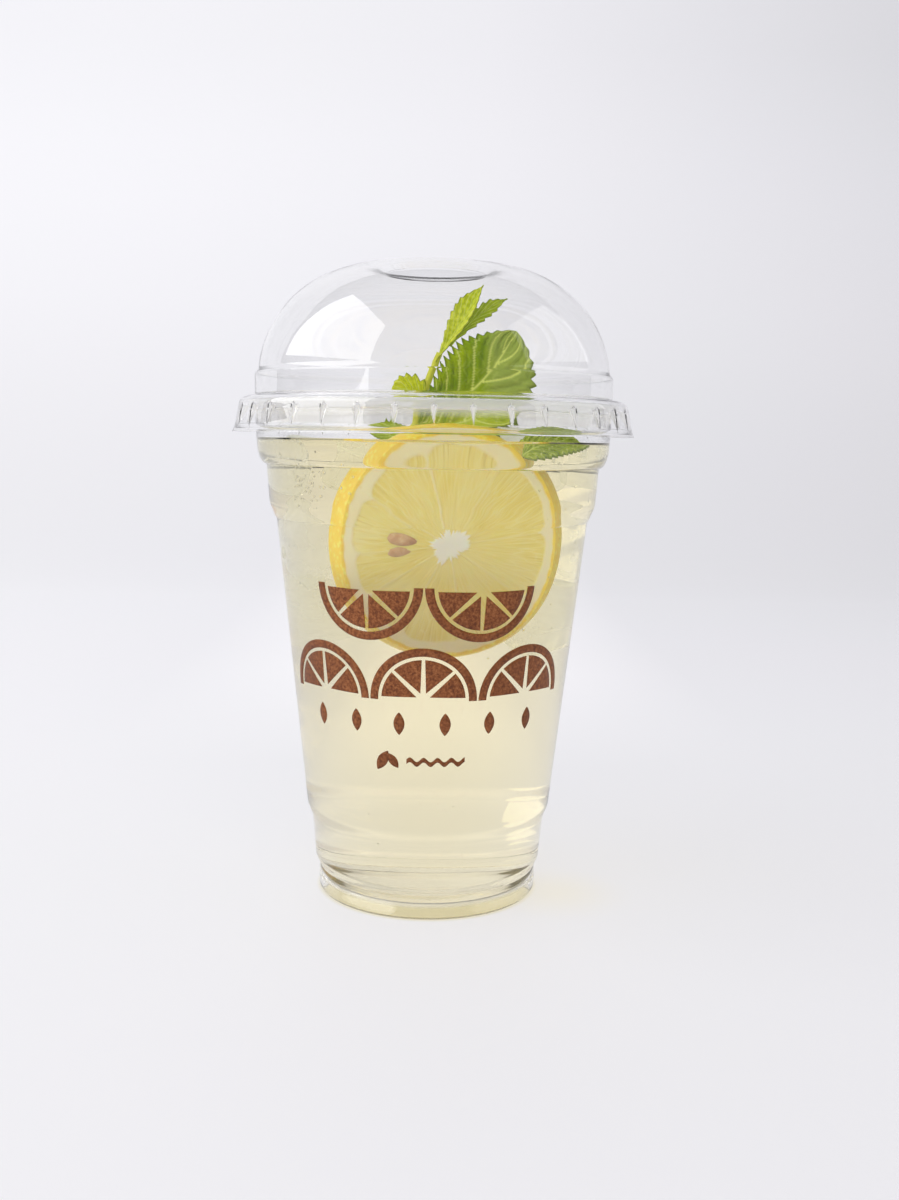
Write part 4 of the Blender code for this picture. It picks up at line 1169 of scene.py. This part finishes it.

# %% [markdown]
# ## Floor, backdrop and light
#
# The photograph is high key: a pale floor runs up into a pale backdrop, with one large soft light at the
# left, close and bright, and a weaker one at the right. Their mirrored shapes in the dome gave where
# they stand. The backdrop glows a little, so that it stays bright behind the clear cup, and its glow
# carries painted light and shade: it falls off from the left to the right, is darker low down, at the top
# and in the upper right corner, is lighter behind the cup, and is yellow under the cup and beside its foot.

# %% Floor and backdrop
def backdrop_material():
    surface, tree, shader, output = material("pale backdrop")
    place = put(tree, "ShaderNodeTexCoord").outputs["Object"]
    across = put(tree, "ShaderNodeSeparateXYZ", {0: place}).outputs["X"]
    share = put(tree, "ShaderNodeMapRange", {"Value": across, "From Min": -0.5, "From Max": 0.5}).outputs["Result"]
    paper = put(tree, "ShaderNodeTexNoise", {"Vector": place, "Scale": 3.0, "Detail": 2.0})
    # painted light: the glow falls off from bright at the left, where the big lamp stands, to darker at the right
    glow = ramp(tree, share, [(0.0, (0.945, 0.94, 0.98)), (1.0, (0.69, 0.683, 0.72))])
    up = put(tree, "ShaderNodeSeparateXYZ", {0: place}).outputs["Z"]
    # painted shade: the glow is darker towards the floor
    lower = put(tree, "ShaderNodeMapRange", {"Value": up, "From Max": 0.4, "From Min": 0.0, "To Min": 0.16,
                                             "To Max": 0.0}).outputs["Result"]
    glow = mix(tree, lower, glow, (0.0, 0.0, 0.0))
    # painted shade: darker at the top and in the upper right corner
    far_right = put(tree, "ShaderNodeMapRange", {"Value": across, "From Min": 0.05, "From Max": 0.45}).outputs["Result"]
    far_up = put(tree, "ShaderNodeMapRange", {"Value": up, "From Min": 0.2, "From Max": 0.5, "To Max": 0.13}).outputs["Result"]
    top = put(tree, "ShaderNodeMapRange", {"Value": up, "From Min": 0.25, "From Max": 0.5, "To Max": 0.08}).outputs["Result"]
    glow = mix(tree, top, glow, (0.0, 0.0, 0.0))
    corner = put(tree, "ShaderNodeMath", {0: far_right, 1: far_up}, operation="MULTIPLY").outputs[0]
    glow = mix(tree, corner, glow, (0.0, 0.0, 0.0))
    # painted light: a soft bright patch on the floor behind the cup
    aside = put(tree, "ShaderNodeMath", {0: across}, operation="ABSOLUTE").outputs[0]
    behind = put(tree, "ShaderNodeMapRange", {"Value": aside, "From Min": 0.03, "From Max": 0.13, "To Min": 1.0,
                                              "To Max": 0.0}).outputs["Result"]
    away = put(tree, "ShaderNodeSeparateXYZ", {0: place}).outputs["Y"]
    deep = put(tree, "ShaderNodeMapRange", {"Value": away, "From Min": 0.12, "From Max": 0.3, "To Max": 0.5}).outputs["Result"]
    low = put(tree, "ShaderNodeMapRange", {"Value": up, "From Min": 0.1, "From Max": 0.25, "To Min": 1.0,
                                           "To Max": 0.0}).outputs["Result"]
    patch_share = put(tree, "ShaderNodeMath", {0: behind, 1: deep}, operation="MULTIPLY").outputs[0]
    patch_share = put(tree, "ShaderNodeMath", {0: patch_share, 1: low}, operation="MULTIPLY").outputs[0]
    glow = mix(tree, patch_share, glow, (1.0, 0.98, 1.0))
    # painted light and shade: the floor under the cup is yellow and dimmer, as from light through the drink
    flat = put(tree, "ShaderNodeVectorMath", {0: place, 1: (1, 1, 0)}, operation="MULTIPLY").outputs[0]
    from_axis = put(tree, "ShaderNodeVectorMath", {0: flat}, operation="LENGTH").outputs["Value"]
    under = put(tree, "ShaderNodeMapRange", {"Value": from_axis, "From Min": 0.0270, "From Max": 0.0295, "To Min": 1.0,
                                             "To Max": 0.0}).outputs["Result"]
    glow = mix(tree, under, glow, UNDER_CUP)
    # painted light and shade: a soft yellow caustic and shadow on the floor beside the foot, at the right
    from_right = put(tree, "ShaderNodeVectorMath", {0: flat, 1: (0.034, -0.008, 0)}, operation="DISTANCE").outputs["Value"]
    beside = put(tree, "ShaderNodeMapRange", {"Value": from_right, "From Min": 0.0, "From Max": 0.022, "To Min": 0.5,
                                              "To Max": 0.0}, interpolation_type="SMOOTHSTEP").outputs["Result"]
    glow = mix(tree, beside, glow, (0.72, 0.66, 0.50))
    tinted = mix(tree, 0.04, glow, paper.outputs["Color"], "SOFT_LIGHT")
    tree.links.new(tinted, shader.inputs["Emission Color"])
    shader.inputs["Emission Strength"].default_value = BACKDROP_GLOW
    shader.inputs["Base Color"].default_value = (0.4, 0.4, 0.41, 1)
    shader.inputs["Roughness"].default_value = 0.6
    shader.inputs["Specular IOR Level"].default_value = 0.2
    return surface


BACKDROP_GLOW = 0.73
UNDER_CUP = (0.56, 0.47, 0.17)  # light that reaches the floor through the drink is yellow
WIDE, NEAR, FAR, TALL, SWEEP, LOW = 2.0, -2.0, 0.95, 1.6, 0.35, -0.00005
profile = [(NEAR, LOW), (-1.0, LOW), (-0.3, LOW), (0.3, LOW), (FAR - SWEEP, LOW)]
profile += [(FAR - SWEEP + SWEEP * math.sin(math.radians(a)), LOW + SWEEP - SWEEP * math.cos(math.radians(a)))
            for a in range(5, 91, 5)]
profile.append((FAR, TALL))
columns = 17
points = [(WIDE * (2 * i / (columns - 1) - 1), y, z) for y, z in profile for i in range(columns)]
faces = [(r * columns + i, r * columns + i + 1, (r + 1) * columns + i + 1, (r + 1) * columns + i)
         for r in range(len(profile) - 1) for i in range(columns - 1)]
backdrop = add_mesh("backdrop", points, faces, [backdrop_material()])


# %% Lights
def lamp_at(name, middle, aim, across, up, radiance):
    """A rectangular lamp of this size in metres and radiance, turned towards aim."""
    lamp = bpy.data.lights.new(name, "AREA")
    lamp.shape = "RECTANGLE"
    lamp.size, lamp.size_y = across, up
    lamp.energy = radiance * math.pi * across * up
    lamp.color = (1.0, 0.995, 0.99)
    item = bpy.data.objects.new(name, lamp)
    turn = Vector(aim).to_track_quat("-Z", "Y").to_matrix().to_4x4()
    item.matrix_world = Matrix.Translation(middle) @ turn
    scene.collection.objects.link(item)
    return item


lamp_at("softbox_left", (-0.72, -0.30, 0.81), (1, 0, 0), 1.13, 1.01, 2.2)
lamp_at("softbox_right", (0.84, -0.04, 0.71), (-1, 0, 0), 0.93, 0.78, 0.75)
fill = lamp_at("fill", (0, -1.2, 1.0), (0, 1.2, -0.9), 1.4, 1.4, 1.5)
fill.visible_glossy = fill.visible_transmission = False
world = bpy.data.worlds.new("studio")
scene.world = world
world.use_nodes = True
world.node_tree.nodes["Background"].inputs["Color"].default_value = (0.93, 0.93, 0.96, 1)
world.node_tree.nodes["Background"].inputs["Strength"].default_value = 0.22
cycles = scene.cycles
cycles.max_bounces, cycles.transmission_bounces, cycles.transparent_max_bounces = 18, 16, 24
cycles.diffuse_bounces, cycles.glossy_bounces, cycles.volume_bounces = 4, 8, 0
cycles.caustics_reflective = False
